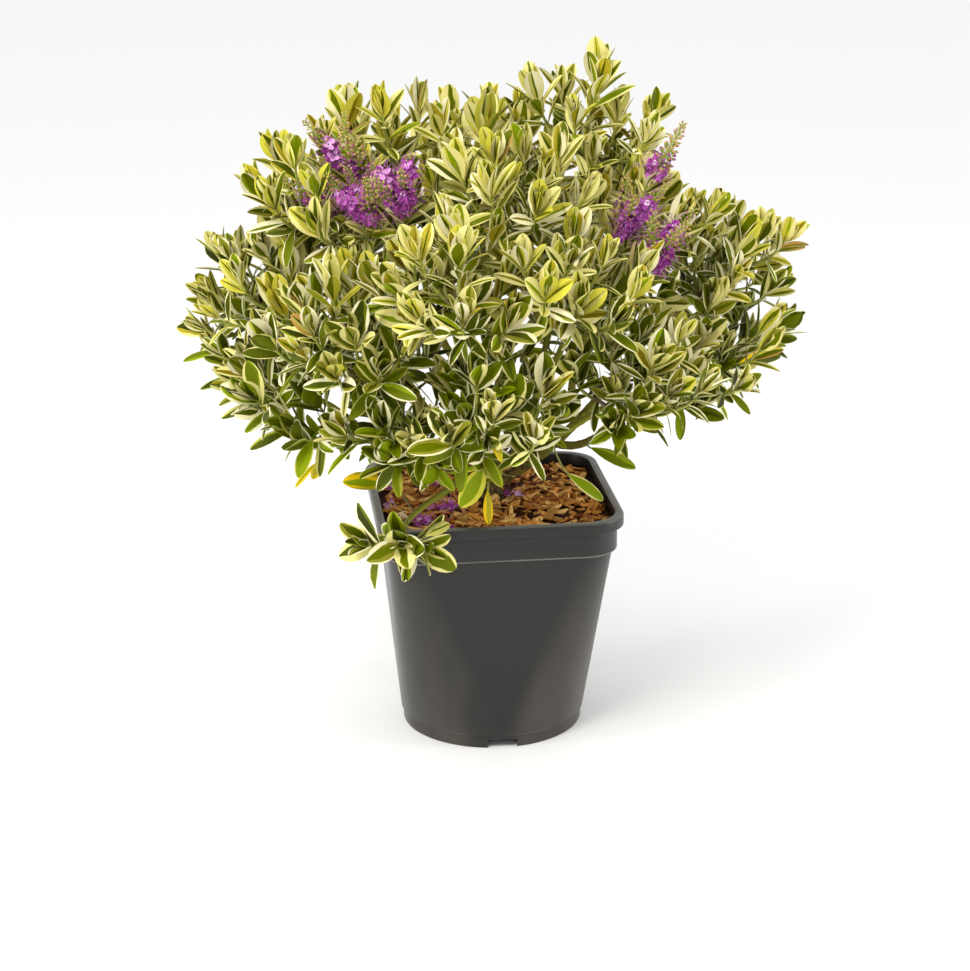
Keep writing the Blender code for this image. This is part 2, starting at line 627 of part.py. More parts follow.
class Growth:
    """The twigs and leaves of one mass while it grows."""

    def __init__(self, mass, guards, leaf, workshop):
        self.mass = mass
        self.space = Space(mass, guards)
        self.chance = random.Random(f"{SEED} {mass.name}")
        self.leaf = leaf
        self.workshop = workshop
        self.pieces = []
        self.trees = []

    def keep(self, mesh, tree, placed=None):
        """Adds one piece to be fused."""
        item = bpy.data.objects.new("piece", mesh)
        if placed:
            item.matrix_world = placed
        self.workshop.objects.link(item)
        self.pieces.append(item)
        self.trees.append(tree)

    def add_twig(self, rings, off=()):
        """Adds a twig or a spike of flowers unless it would leave the space or hit a limb."""
        points, faces = loft(rings)
        tree = BVHTree.FromPolygons(points, faces)
        if not (self.space.holds(points) and self.space.clear(tree, list(off))):
            return False
        self.keep(mesh_of("twig", points, faces), tree)
        return True

    def add_leaf(self, root, outward, inward, length, off):
        """Adds a leaf unless it would leave the space, hit a limb or cross its neighbours."""
        placed = leaf_matrix(root, outward, inward, length)
        corners = [placed @ vert.co for vert in self.leaf.vertices]
        faces = [tuple(face.vertices) for face in self.leaf.polygons]
        tree = BVHTree.FromPolygons(corners, faces)
        if not (self.space.holds(corners) and self.space.clear(tree, off)):
            return False
        self.keep(self.leaf, tree, placed)
        return True

    def stem(self):
        """The one stem, from the bough's tip into the middle of the mass."""
        entry = direction(self.mass.azimuth, self.mass.rise)
        foot = bough_tip(self.mass) + entry * GAP
        heart = foot.lerp(self.space.centre, STEM_REACH)
        radii = [STEM_RADIUS, STEM_RADIUS * STEM_TAPER]
        points, faces = loft(tube_rings([foot, heart], radii, TWIG_SIDES))
        self.keep(mesh_of("stem", points, faces), BVHTree.FromPolygons(points, faces))
        return entry, [foot.lerp(heart, share) for share in STEM_JOINTS]

    def shoot(self, joint, tip, heading):
        """A bent twig from a joint to its tip; gives the bend, or nothing if it won't fit."""
        straight = max((tip - joint).length * SHOOT_STRAIGHT_SHARE, SHOOT_STRAIGHT)
        bend = tip - heading * straight
        end = tip + heading * SHOOT_RADIUS * 2
        radii = [SHOOT_RADIUS * share for share in SHOOT_PROFILE]
        rings = tube_rings([joint, bend, end], radii, TWIG_SIDES)
        leaves = [tree for item, tree in zip(self.pieces, self.trees) if item.data == self.leaf]
        return bend if self.add_twig(rings, leaves) else None

    def leaf_pairs(self, tip, heading):
        """Opposite pairs down a shoot, each turned a quarter from the last."""
        side = heading.orthogonal().normalized()
        others = self.trees[:-1]
        twist = self.chance.uniform(0, math.pi)
        for pair in range(PAIRS):
            root = tip - heading * PAIR_SPACING * pair
            placed = []
            for half in range(2):
                for attempt in range(TRIES):
                    lean = TIP_SPREAD + SPREAD_STEP * pair
                    lean += self.chance.uniform(-LEAN_JITTER, LEAN_JITTER)
                    turn = twist + math.pi * (half + pair / 2)
                    turn += attempt * self.chance.uniform(-TWIST_JITTER, TWIST_JITTER)
                    out = Matrix.Rotation(turn, 3, heading) @ side
                    outward = heading * math.cos(lean) + out * math.sin(lean)
                    length = LEAF_LENGTH * (1.0 - SHORTER_EACH_TRY * attempt)
                    if self.add_leaf(root, outward, heading, length, others):
                        placed.append(self.trees[-1])
                        break
            others += placed

    def grow(self):
        """Stem, shoots, leaves and flowers."""
        entry, joints = self.stem()
        up = Vector((0, 0, 1))
        spikes = self.mass.spikes
        for tip in shoot_tips(self.mass, self.chance):
            joint = min(joints, key=lambda place: (place - tip).length)
            outward = (tip - self.space.centre).normalized()
            heading = outward * SHOOT_OUTWARD + up * SHOOT_UPWARD + entry * SHOOT_ONWARD
            heading.normalize()
            bend = self.shoot(joint, tip, heading)
            if bend is None:
                continue
            joints += [joint.lerp(bend, SHOOT_JOINT), bend]
            self.leaf_pairs(tip, heading)
            if spikes:
                toward = (heading + up * RACEME_UPWARD).normalized()
                places = [tip + toward * RACEME_LENGTH * along for along, _ in RACEME_PROFILE]
                radii = [RACEME_RADIUS * wide for _, wide in RACEME_PROFILE]
                spikes -= self.add_twig(tube_rings(places, radii, RACEME_SIDES))


def make_mass(mass, guards, group, mat, workshop, leaf):
    """One mass of foliage, as one fused body."""
    growth = Growth(mass, guards, leaf, workshop)
    growth.grow()
    name = "foliage_" + mass.name
    add_object(name, fuse(name, growth.pieces, workshop), group, mat)


def main():
    clear_scene()
    group = new_collection("hebe_shrub")
    cutters = new_collection("cutters")
    workshop = new_collection("workshop")
    bark = material("bark", (0.20, 0.145, 0.075), 0.85)
    leaf_green = material("foliage", (0.30, 0.36, 0.09), 0.5)
    make_pot(group, cutters)
    make_compost(group)
    make_mulch(group)
    shapes = {"trunk": shape_of(make_trunk(group, bark))}
    limbs = {}
    for mass in MASSES:
        seat_bough(mass, limbs, shapes, group, bark)
    guards = [guard(limb) for limb in (trunk_limb(), *limbs.values())]
    leaf = plain_leaf()
    for mass in MASSES:
        make_mass(mass, guards, group, leaf_green, workshop, leaf)
    bpy.data.collections.remove(workshop)


main()
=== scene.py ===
"""Potted hebe: the looks of a variegated shrub in a square-topped nursery pot.

Metres, +Z up, in the part's own frame: the origin is the centre of the pot's
underside, and the plant's front is -Y. The masses, boughs and shoots grow by the same
rule as the solids, carried on to finer twigs. Colours that have a place, such as a
leaf's cream margin, are plain materials dealt out to faces.
"""
import math
import random
from collections import namedtuple

import bpy
import numpy as np
from mathutils import Matrix, Vector, noise


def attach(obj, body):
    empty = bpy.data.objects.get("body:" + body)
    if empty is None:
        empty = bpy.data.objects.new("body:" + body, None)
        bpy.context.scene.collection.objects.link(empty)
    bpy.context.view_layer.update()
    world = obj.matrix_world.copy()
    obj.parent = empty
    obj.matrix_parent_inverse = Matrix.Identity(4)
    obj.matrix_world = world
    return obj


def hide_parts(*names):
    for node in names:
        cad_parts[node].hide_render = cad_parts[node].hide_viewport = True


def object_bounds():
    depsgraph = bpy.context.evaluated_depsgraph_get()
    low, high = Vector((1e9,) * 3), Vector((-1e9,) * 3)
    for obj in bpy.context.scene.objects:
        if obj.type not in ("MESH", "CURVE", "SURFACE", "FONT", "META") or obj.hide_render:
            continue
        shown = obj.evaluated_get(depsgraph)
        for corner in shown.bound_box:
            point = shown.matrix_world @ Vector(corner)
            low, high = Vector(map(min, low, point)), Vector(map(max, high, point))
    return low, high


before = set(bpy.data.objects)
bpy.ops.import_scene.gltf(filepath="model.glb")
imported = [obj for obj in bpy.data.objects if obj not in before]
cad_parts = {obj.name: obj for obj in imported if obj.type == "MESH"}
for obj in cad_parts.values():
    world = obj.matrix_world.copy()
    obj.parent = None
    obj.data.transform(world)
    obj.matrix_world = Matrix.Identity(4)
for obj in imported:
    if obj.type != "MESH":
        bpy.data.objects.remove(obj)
cad_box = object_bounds()

SEED = 11
UP = Vector((0, 0, 1))

# Camera, in the view that the reference has of the pot
IMAGE_LONG_SIDE = 971
FOCAL_PIXELS = 2366.67
SENSOR_WIDTH = 36.0
CAMERA_DISTANCE, CAMERA_HEIGHT = 2.3397, 1.0171
CAMERA_PITCH, CAMERA_YAW, CAMERA_ROLL = 18.037, -0.145, -0.385
POT_TURN = 6.588  # how far the pot is turned from facing the camera

# Pot
POT_HEIGHT = 0.2512
LIP_HALF, LIP_CORNER, LIP_HEIGHT = 0.125, 0.0392, 0.0122
COLLAR_HALF, COLLAR_HEIGHT, COLLAR_CORNER = 0.1191, 0.026, 0.0376
BODY_TOP_HALF, BODY_TOP_CORNER = 0.115, 0.036
BODY_FOOT_HALF = 0.0968
FOOT_HALF, FOOT_HEIGHT, FOOT_WALL = 0.0945, 0.0145, 0.0042
WALL = 0.0024
FLOOR_BOTTOM, FLOOR_THICKNESS = 0.01, 0.0028
EDGE_ROUND = 0.0016
LIP_BOTTOM = POT_HEIGHT - LIP_HEIGHT
COLLAR_BOTTOM = LIP_BOTTOM - COLLAR_HEIGHT
SHELF = COLLAR_BOTTOM + WALL
# Half width and corner
FOOT, COLLAR, LIP = (FOOT_HALF, FOOT_HALF), (COLLAR_HALF, COLLAR_CORNER), (LIP_HALF, LIP_CORNER)
FOOT_STEPS, COLLAR_STEP = (0.003, 0.0012), 0.01
CORNER_STEPS = 28
NOTCH_COUNT, NOTCH_WIDTH, NOTCH_HEIGHT = 3, 0.031, 0.009
DRAIN_COUNT, DRAIN_RADIUS, DRAIN_CIRCLE = 5, 0.0065, 0.064
CUT_DEPTH = 0.02
EDGE_STEPS, BODY_STEPS = 4, 12
SHARP_ANGLE = math.radians(32)
# The plastic's own colour, and the colour of a painted sheen on the round corners that stands in for
# light on them
POT_COLOUR, CORNER_SHEEN_COLOUR = (31, 31, 30), (84, 77, 69)
# Colour of the painted highlights along the edges, then of the painted shade under the lip
EDGE_HIGHLIGHT_COLOUR, LIP_SHADE_COLOUR = (126, 124, 118), (14, 14, 14)
CORNER_SHEEN, EDGE_HIGHLIGHT = 0.5, 0.8  # how strongly the painted sheen on the corners and the painted highlights along the edges show on the pot
# Where the painted sheen on a corner starts, and the ranges of noise over which the painted sheen
# and the painted edge highlights show
CORNER_SHEEN_RISE, CORNER_SHEEN_PATCHES, HIGHLIGHT_PATCHES = (-0.002, 0.016), (0.3, 0.62), (0.32, 0.52)
# Painted highlights along edges: height and half width
HIGHLIGHT_EDGES = ((COLLAR_BOTTOM + EDGE_ROUND * 0.5, EDGE_ROUND), (FOOT_HEIGHT - 0.0008, 0.0011),
              (POT_HEIGHT, 0.0016))

# Filling of the pot
SOIL_TOP = 0.222
MULCH_EDGE, MULCH_CROWN = 0.24, 0.2455
CHIP_COUNT = 640
CHIP_LENGTH, CHIP_WIDTH, CHIP_THICKNESS = (0.008, 0.03), (0.003, 0.011), (0.0012, 0.0034)
CHIP_COLOURS = ((62, 25, 4), (86, 41, 10), (126, 66, 18), (172, 105, 34), (224, 152, 66),
                (252, 200, 120), (182, 132, 64), (242, 222, 188))
CHIP_WEIGHTS = (3, 7, 8, 6, 4, 0.5)
COMPOST_COLOUR = (46, 30, 18)
# A chip's cross section in half widths and half thicknesses, and how chips tilt and bend
CHIP_SECTION = ((-1, -1), (0.1, -1.15), (1, -1), (1.02, 0.3), (0.35, 1.2), (-0.4, 1.0), (-0.95, 0.4))
CHIP_SPANS, CHIP_TILT, CHIP_BEND, CHIP_STRAY = 4, 0.28, (-0.1, 0.18), 0.12
CHIP_SUNK, CHIP_LIFT, CHIP_EVEN = 0.001, (-0.0015, 0.002), 0.8
MULCH_ROWS, MULCH_SIDES = 30, 120
MULCH_LUMPS, LUMP_SCALE, BED_DEPTH, BED_RELIEF, BED_SCALE = 0.0016, 55, 0.0035, 0.0012, 300

# Trunk and boughs
GAP = 0.0003
TRUNK_FOOT, TRUNK_TOP = SOIL_TOP + GAP, 0.29
TRUNK_LENGTH = TRUNK_TOP - TRUNK_FOOT
TRUNK_FOOT_RADIUS, TRUNK_NECK_RADIUS, TRUNK_TOP_RADIUS = 0.023, 0.015, 0.0118
FLARE_HEIGHT = 0.014
TRUNK_LEAN = Vector((-0.008, -0.004, 0.0))
LOWER_TIER, UPPER_TIER = 0.259, 0.277
LOWER_BOUGHS = ("left_upper", "front_centre", "right_tip", "back_centre")
BOUGH_TIP_RADIUS, BOUGH_TAPER = 0.0026, 0.8
BOUGH_SWEEP, BOUGH_END = 0.38, 0.66
FORK_TILT = math.radians(28)
FORK_SUNK = 0.0012  # how far a bough's bark runs into its carrier's
TOP_OF_TRUNK = "top"
BOUGH_STEPS = 64
BARK_SIDES = 20

# Shoots
GOLDEN_ANGLE = math.radians(137.508)
SHOOT_SIDES, SHOOT_STEPS = 5, 8
STEM_SUNK = 0.004
TIP_CLEARANCE = 0.01
# How light a shoot is by its height in the crown and its distance from the middle
CROWN_LOW, CROWN_HIGH, CROWN_HALF = 0.28, 0.68, 0.31
LIGHT_LEAST, LIGHT_RISE, LIGHT_CURVE, LIGHT_OUTWARD = 0.02, 0.98, 0.85, 0.12
STEM_RADII = (BOUGH_TIP_RADIUS * 0.9, 0.0029, 0.0029 * 0.8)
STEM_REACH, STEM_JOINTS = 0.3, (0.2, 0.6, 0.95)
# A shoot's curve, its radius at the tip, middle and foot, and how its light strays
SHOOT_START, SHOOT_DIP, SHOOT_END = 0.3, 0.04, 0.5
SHOOT_RADIUS, SHOOT_FOOT, SHOOT_TAPER, SHOOT_LIGHT = 0.0016, 1.6, 0.8, 0.2
# Where tips are tried in a mass: how many, over how much of a ball, and how far out
TRIES = ((10, 1.7, (0.1, 0.4)), (120, 1.62, (0.48, 0.88)))
TIP_SPACING = 0.0345  # a tip nearer than this to another one is skipped
SPARSE_FROM, SPARSE_RATE = 0.53, 0.075  # above this height the spacing grows at this rate
ROSETTE_REACH = 0.031  # how far the leaves stand beyond their shoot's tip
REACH_SPARE = 0.018  # how far a leaf may stand beyond the solids' box
BASE = Vector((0, 0, 0.2))  # the shoots turn away from here
SHOOT_OUTWARD, SHOOT_ONWARD, SHOOT_UPWARD = 0.26, 0.6, 0.72
SHOOT_WANDER, LEAST_LIFT, TURN_STRAY = 0.22, 0.4, 0.25
AXIS_RISE = 0.75
CELL_OVERLAP = 0.006  # how far a tip may stray over the wall of its mass
LOWEST = -0.38  # lowest tip, in sizes of the mass from its centre
# The crown's underside: no tip is lower than this at this distance out, and it rises outwards
UNDERSIDE_HEIGHT, UNDERSIDE_REACH, UNDERSIDE_SLOPE = 0.335, 0.21, 0.9
# Hollows in the top of the crown where no shoot ends: centre and radius
HOLLOWS = (((0.222, -0.03, 0.585), 0.056), ((0.205, 0.09, 0.585), 0.056),
           ((-0.02, -0.02, 0.672), 0.046), ((-0.02, 0.08, 0.665), 0.05))
# Tips of the shoots that stand out singly, in millimetres
EDGE_TIPS = (
    (107, -12, 667), (48, -6, 657), (131, 5, 640), (153, 2, 601), (-142, -4, 640), (-106, -8, 647),
    (-163, -21, 624), (-48, 6, 628), (-7, 1, 624), (-209, -6, 603), (272, -31, 519), (296, -34, 513),
    (246, -59, 514), (284, -33, 462), (296, -14, 415), (-258, 10, 498), (-279, 12, 457),
    (-288, 53, 418), (-272, 31, 400), (-259, 10, 374), (-234, -13, 352), (-65, -123, 394),
    (145, -107, 446), (-75, -102, 428), (158, -89, 471),
)
# Rosettes that lie open towards the front: tip in millimetres, heading and kind of leaf
OPEN_SHOOTS = (
    ((-107, -170, 256), (-0.1, -0.9, 0.3), "mature"),
    ((-136, -160, 254), (-0.75, -0.45, 0.45), "mature"),
    ((-88, -166, 250), (0.55, -0.75, 0.1), "mature"),
    ((-25, -170, 330), (0.05, -0.8, 0.5), "lime"),
)
OPEN_SCALE, OPEN_SPREAD, OPEN_BREADTH, OPEN_AGE = 1.12, 1.6, 1.04, 2
FEW_SHOOTS = {"drooping_shoot": 0, "left_foot": 4}
# Single leaves on twigs: root and tip in millimetres, width for their length, and kind
LONE_LEAVES = (
    ((-113, -112, 298), (-158, -118, 308), 0.42, "spent"),
    ((-17, -122, 290), (-17, -124, 253), 0.28, "spent"),
    ((-83, -168, 262), (-59, -164, 273), 0.46, "lime"),
    ((70, -72, 288), (107, -83, 262), 0.3, "lime"),
    ((95, -62, 311), (142, -67, 290), 0.3, "shade"),
    ((-176, -45, 308), (-186, -45, 283), 0.42, "spent"),
    ((-5, -125, 308), (-46, -122, 295), 0.32, "shade"),
    ((-275, 42, 399), (-314, 46, 391), 0.24, "shade"),
    ((-253, 29, 374), (-298, 34, 366), 0.24, "shade"),
    ((-231, 7, 353), (-278, 12, 339), 0.24, "shade"),
    ((-203, -17, 331), (-251, -11, 311), 0.22, "shade"),
    ((-180, -30, 298), (-206, -27, 271), 0.16, "spent"),
    ((256, -60, 384), (270, -61, 367), 0.26, "shade"),
)
TWIG_RADIUS, TWIG_BEND, TWIG_STEPS, LONE_AGE = 0.001, 0.15, 4, 5
LONE_FACING = Vector((0.0, -0.75, 0.66))
JOINT_BACK = 0.05  # a shoot leaves the joint nearest to this far behind its tip

# Masses of foliage, as in the solids, each with the limb that its bough leaves and where
Mass = namedtuple("Mass", "name azimuth reach height size rise limb fork radius")
MASSES = [Mass(*row) for row in (
    ("centre_top", 80, 0.02, 0.586, 0.09, 84, "trunk", TOP_OF_TRUNK, 0.0074),
    ("left_upper", 172, 0.228, 0.464, 0.09, 45, "trunk", 178, 0.0064),
    ("front_centre", -108, 0.192, 0.512, 0.09, 60, "trunk", -104, 0.006),
    ("right_tip", -2, 0.235, 0.484, 0.09, 45, "trunk", -8, 0.0064),
    ("back_centre", 92, 0.188, 0.48, 0.09, 55, "trunk", 92, 0.0058),
    ("front_left", -141, 0.208, 0.452, 0.088, 52, "trunk", -143, 0.0058),
    ("front_right", -76, 0.19, 0.51, 0.09, 60, "trunk", -56, 0.006),
    ("back_right", 44, 0.21, 0.49, 0.09, 52, "trunk", 45, 0.0058),
    ("back_left", 137, 0.212, 0.488, 0.09, 52, "trunk", 138, 0.0058),
    ("left_low", 178, 0.232, 0.376, 0.088, 22, "left_upper", 0.3, 0.0046),
    ("left_foot", -162, 0.186, 0.334, 0.078, 10, "left_upper", 0.16, 0.0042),
    ("upper_left", -168, 0.166, 0.57, 0.088, 62, "left_upper", 0.44, 0.0044),
    ("top_left", 150, 0.104, 0.594, 0.088, 74, "centre_top", 0.3, 0.0048),
    ("top_peak", 12, 0.11, 0.62, 0.09, 78, "centre_top", 0.42, 0.005),
    ("upper_front", -80, 0.112, 0.578, 0.086, 74, "centre_top", 0.2, 0.0046),
    ("upper_back", 86, 0.118, 0.584, 0.086, 74, "centre_top", 0.54, 0.0044),
    ("front_left_low", -124, 0.2, 0.36, 0.082, 26, "front_left", 0.34, 0.0042),
    ("drooping_shoot", -126, 0.203, 0.254, 0.06, -18, "front_left", 0.1, 0.004),
    ("front_low", -95, 0.204, 0.396, 0.086, 34, "front_centre", 0.34, 0.0044),
    ("front_right_low", -52, 0.206, 0.404, 0.088, 34, "front_right", 0.32, 0.0044),
    ("right_upper", -12, 0.166, 0.544, 0.088, 62, "right_tip", 0.4, 0.0044),
    ("right_low", -12, 0.236, 0.396, 0.09, 26, "right_tip", 0.28, 0.0046),
    ("back_right_low", 52, 0.226, 0.366, 0.088, 26, "back_right", 0.3, 0.0044),
    ("back_left_low", 124, 0.222, 0.366, 0.088, 26, "back_left", 0.3, 0.0044),
)]
Limb = namedtuple("Limb", "points radii")
Shoot = namedtuple("Shoot", "mass line radii")
Leaf = namedtuple("Leaf", "mass root outward inward length width number light kind")

# Leaves
LEAF_LENGTH = 0.039
# Pairs from the tip down: length, width, lean from the shoot in degrees, place on the shoot
PAIRS = ((0.42, 0.48, 4, 0.0000), (0.7, 0.5, 8, 0.001), (0.9, 0.5, 15, 0.0028),
         (1.00, 0.47, 25, 0.006), (1.02, 0.43, 37, 0.011), (1.00, 0.36, 48, 0.0185),
         (1.00, 0.31, 58, 0.0285), (0.98, 0.28, 67, 0.04), (0.94, 0.27, 75, 0.053),
         (0.88, 0.26, 81, 0.0675), (0.8, 0.26, 86, 0.084))
LEAFY_SHARE = 0.94  # no pair is further back on its shoot than this
SAG, SAG_FROM, SAFE_PAIRS, LOST_LEAVES = 0.03, 4, 3, 0.12
SPENT_SHARE, SPENT_BELOW, SPENT_FROM = 0.012, 0.4, 4
AGE_SHADE, SHADE_FROM, LEAF_LIGHT = 0.065, 2, 0.1
LIGHT_LEVELS = (("bright", 0.64), ("mid", 0.42), ("mature", 0.18))
SHOOT_SCALE, SHOOT_SPREAD = (0.82, 1.14), (0.6, 1.1)
PLACE_STRAY, LENGTH_STRAY, WIDTH_STRAY = (0.9, 1.1), (0.88, 1.1), (0.88, 1.12)
PAIR_STRAY, LEAN_STRAY, WIDEST_LEAN, FACE_STRAY = 0.15, 7, 95, 0.16
LEAF_MARGIN = 0.003  # room between a leaf and the pot
# Cup across a leaf, and curl along it, inward while young and outward later
YOUNG_PAIRS, CUP, CUP_YOUNG, CUP_CURVE, CUP_STRAY = 4.0, 0.1, 0.16, 1.6, (0.5, 1.5)
CURL_YOUNG, CURL_OLD, CURL_STRAY, CURL_SHORTENS = 0.1, 0.045, (0.4, 1.5), 0.1
# Where a leaf's centre and its middle zone end, in half widths, and how far these edges stray
INNER_STRAY, INNER_LIMITS = 0.3, (0.03, 0.88)
OUTER_STRAY, OUTER_LIMITS = 0.1, (0.2, 0.95)
LEAST_MIDDLE, FADE_ENDS, FADE_CURVE, FADE_LEAST = 0.06, (0.02, 0.97), 0.35, 0.25
LEAF_PIECES = 6
CREASE = 0.09  # depth of the fold along the midrib, in half widths
PLAIN_SHARE = 0.16  # leaves of which one side has two tones in place of three
LEAF_STATIONS = (0.0, 0.07, 0.2, 0.36, 0.54, 0.72, 0.86, 0.96, 1.0)
LEAF_OUTLINE = (0.11, 0.3, 0.62, 0.9, 1.0, 0.92, 0.69, 0.37, 0.04)
# Colours as seen on a screen
LEAF_COLOURS = {
    "deep": (52, 59, 0), "dark": (74, 83, 0), "green": (97, 108, 0), "fresh": (128, 146, 8),
    "sage": (138, 136, 42), "pale": (198, 192, 104), "olive": (126, 112, 4),
    "gold": (174, 160, 38), "lime": (202, 196, 68), "butter": (228, 220, 142),
    "cream": (236, 230, 186), "yellow": (226, 188, 10), "tan": (190, 150, 78),
}
LEAF_NAMES = list(LEAF_COLOURS)
SHOOT_COLOURS = ((150, 156, 62), (122, 128, 46), (104, 92, 44))
SHOOT_AGES, AGE_STRAY = (0.45, 0.85), 0.2

# Looks: roughness, strength and fineness of the bump, and specular level
LEAF_LOOK, SHOOT_LOOK = (0.45, 0.25, 900.0, 0.08), (0.5, 0.3, 700.0)
BARK_LOOK, CHIP_LOOK = (0.8, 0.6, 500.0, 0.3), (0.85, 0.8, 320.0, 0.3)
COMPOST_LOOK, FLOWER_LOOK = (0.95, 0.9, 260.0, 0.2), (0.5, 0.2, 1200.0)
BUMP_DEPTH = 0.0004

# Bark
BARK_COLOURS = ((58, 42, 18), (88, 70, 32), (118, 98, 48), (142, 122, 68), (112, 106, 30),
                (126, 128, 34))
TRUNK_STEPS, TRUNK_SIDES, TRUNK_CROWDING = 40, 48, 1.2
FLARE_LOBES, FLARE_LOBE_DEPTH = 5, 0.1
RIDGES_ROUND, RIDGES_ALONG, RIDGE_SCALE, RIDGE_DEPTH = 2.2, 60, 1.6, 0.09
PIT_SCALE, PIT_DEPTH = 900, 0.05
# Rings that old leaves left: spacing and width in millimetres, and height
SCAR_SPACING, SCAR_WIDTH, SCAR_HEIGHT = 11.0, 0.9, 0.00035
# How far a limb counts as young: the trunk, and a bough that leaves another one
TRUNK_YOUTH, FORK_YOUTH = -0.5, 0.15
MARK_RELIEF, MARK_SPOTS, SPOT_SCALE = 4, 0.5, 260
# Bark that counts as young: colour, weight of its marks, and least; and the steps of old bark
YOUNG_BARK, OLD_BARK = ((5, 0.25, 0.5), (4, 0.3, 0.14)), (-0.35, 0.0, 0.35)

# Flowers
RACEME_LENGTH, RACEME_ROWS, FLOWERS_ROUND = 0.07, 15, 4
STALK_SHARE = 0.2  # bare part of a raceme's stalk
FLOWER_SIZE, BUD_SIZE, FLOWER_STEM = 0.0146, 0.0051, 0.005
# Flowering shoots: tip in millimetres, number of racemes, and how far up these are open
FLOWERING = (
    ((-138, -46, 596), 2, 0.44), ((-127, -50, 588), 2, 0.46), ((-123, -80, 554), 3, 0.56),
    ((-87, -92, 568), 4, 0.64), ((-151, -62, 554), 2, 0.46), ((113, -115, 542), 3, 0.54),
    ((137, -138, 517), 5, 0.6), ((145, -89, 590), 2, 0.32), ((62, 178, 535), 4, 0.54),
)
FALLEN_FLOWERS = 22
# Places where fallen flowers gather, in millimetres
FALLEN_PLACES = ((-105, -13), (-56, -40), (-59, 37), (30, -2), (-100, 60), (-70, -85))
FALLEN_STRAY, FALLEN_LIMIT, FALLEN_HEIGHT, FALLEN_TILT = 0.01, 0.012, 0.003, 0.6
STALK_COLOURS = ((156, 164, 62), (130, 80, 100))
PETAL_COLOURS = ((150, 48, 148), (176, 70, 174), (204, 110, 198), (224, 160, 218),
                 (242, 212, 240), (108, 48, 86))
STAMEN, THROAT, ANTHER = 2, 4, 5  # places in the petal colours
PETAL_SHADES = (0, 0, 1, 1, 2, 2, 3)
# A petal's outline: how far out, and half width, for a flower of size 1
PETAL = ((0.04, 0.08), (0.3, 0.15), (0.66, 0.2), (0.9, 0.13), (1.0, 0.03))
# A bud's outline: how far along, and radius, for a bud of size 1
BUD = ((-0.2, 0.12), (0.15, 0.3), (0.55, 0.34), (0.9, 0.2), (1.05, 0.04))
# A raceme's stalk: how far along, and radius
STALK = ((0, 0.001), (0.2, 0.001), (0.4, 0.0009), (0.6, 0.0008), (0.8, 0.0006), (1.0, 0.0003))
RACEME_HEADING, RACEME_UPWARD, RACEME_OUTWARD, RACEME_SPREAD = 0.3, 0.62, 0.42, 0.42
RACEME_SWAY, ROW_TURN, ROW_STRAY, RIPE_SHARE = 0.14, 0.78, 0.2, 0.28
PETAL_STRAY, PETAL_LIFT, STAMEN_SPREAD, STAMEN_STRAY = 0.25, (-0.3, 0.7), 0.35, 0.25
BUD_COLOURS = ((132, 146, 46), (186, 176, 84), (206, 160, 112), (176, 92, 118), (142, 56, 132))
# Light
HORIZON_LIGHT, OVERHEAD_LIGHT = 0.86, 1.06
FLOOR_SIZE, FLOOR_COLOUR = 60, (0.93, 0.93, 0.93)
LAMP_AIM = Vector((0, 0, 0.4))
WARM, PLAIN = (1.0, 0.965, 0.9), (1.0, 1.0, 1.0)
# Lamps: name, place, width, height, power and colour
LAMPS = (("key", (-1.1, -1.5, 2.2), 0.9, 0.9, 38, WARM),
         ("left", (-1.9, -0.5, 0.6), 0.5, 1.4, 13, PLAIN),
         ("right", (1.9, -0.6, 0.6), 0.5, 1.4, 15, PLAIN))


def in_metres(row):
    """A point from millimetres."""
    return Vector([value / 1000 for value in row])


def wobble(chance, amount):
    """A small vector that points anywhere."""
    return Vector([chance.uniform(-amount, amount) for _ in range(3)])


# Materials

class Graph:
    """The shader nodes of one material or world."""

    def __init__(self, owner):
        owner.use_nodes = True
        self.nodes, self.links = owner.node_tree.nodes, owner.node_tree.links

    def join(self, socket, value):
        """Links an output to a socket, or sets it to a number or a colour."""
        if isinstance(value, bpy.types.NodeSocket):
            self.links.new(value, socket)
        else:
            socket.default_value = value

    def feed(self, node, **inputs):
        """Joins values to a node's inputs, with an underscore for each space in their names."""
        for name, value in inputs.items():
            self.join(node.inputs[name.replace("_", " ")], value)
        return node

    def node(self, kind, **inputs):
        """A new node."""
        return self.feed(self.nodes.new("ShaderNode" + kind), **inputs)

    def bump(self, height, strength, distance):
        """The normal of a fine relief."""
        relief = self.node("Bump", Strength=strength, Distance=distance, Height=height)
        return relief.outputs["Normal"]

    def mix(self, share, first, second):
        """A colour between two."""
        node = self.nodes.new("ShaderNodeMix")
        node.data_type = "RGBA"
        return self.feed(node, Factor=share, A=first, B=second).outputs["Result"]

    def do(self, operation, *values, clamp=False):
        """The result of one operation on outputs or plain numbers."""
        node = self.nodes.new("ShaderNodeMath")
        node.operation, node.use_clamp = operation, clamp
        for socket, value in zip(node.inputs, values):
            self.join(socket, value)
        return node.outputs[0]

    def ramp(self, value, start, end):
        """0 at the start and 1 at the end."""
        return self.do("DIVIDE", self.do("SUBTRACT", value, start), end - start, clamp=True)

    def band(self, value, middle, half):
        """1 in the middle of a narrow band and 0 outside it."""
        away = self.do("ABSOLUTE", self.do("SUBTRACT", value, middle))
        return self.do("SUBTRACT", 1.0, self.do("DIVIDE", away, half), clamp=True)


def linear(red, green, blue):
    """Linear colour from one of 0 to 255 as seen on a screen."""
    def one(value):
        value /= 255
        return value / 12.92 if value <= 0.04045 else ((value + 0.055) / 1.055) ** 2.4
    return one(red), one(green), one(blue)


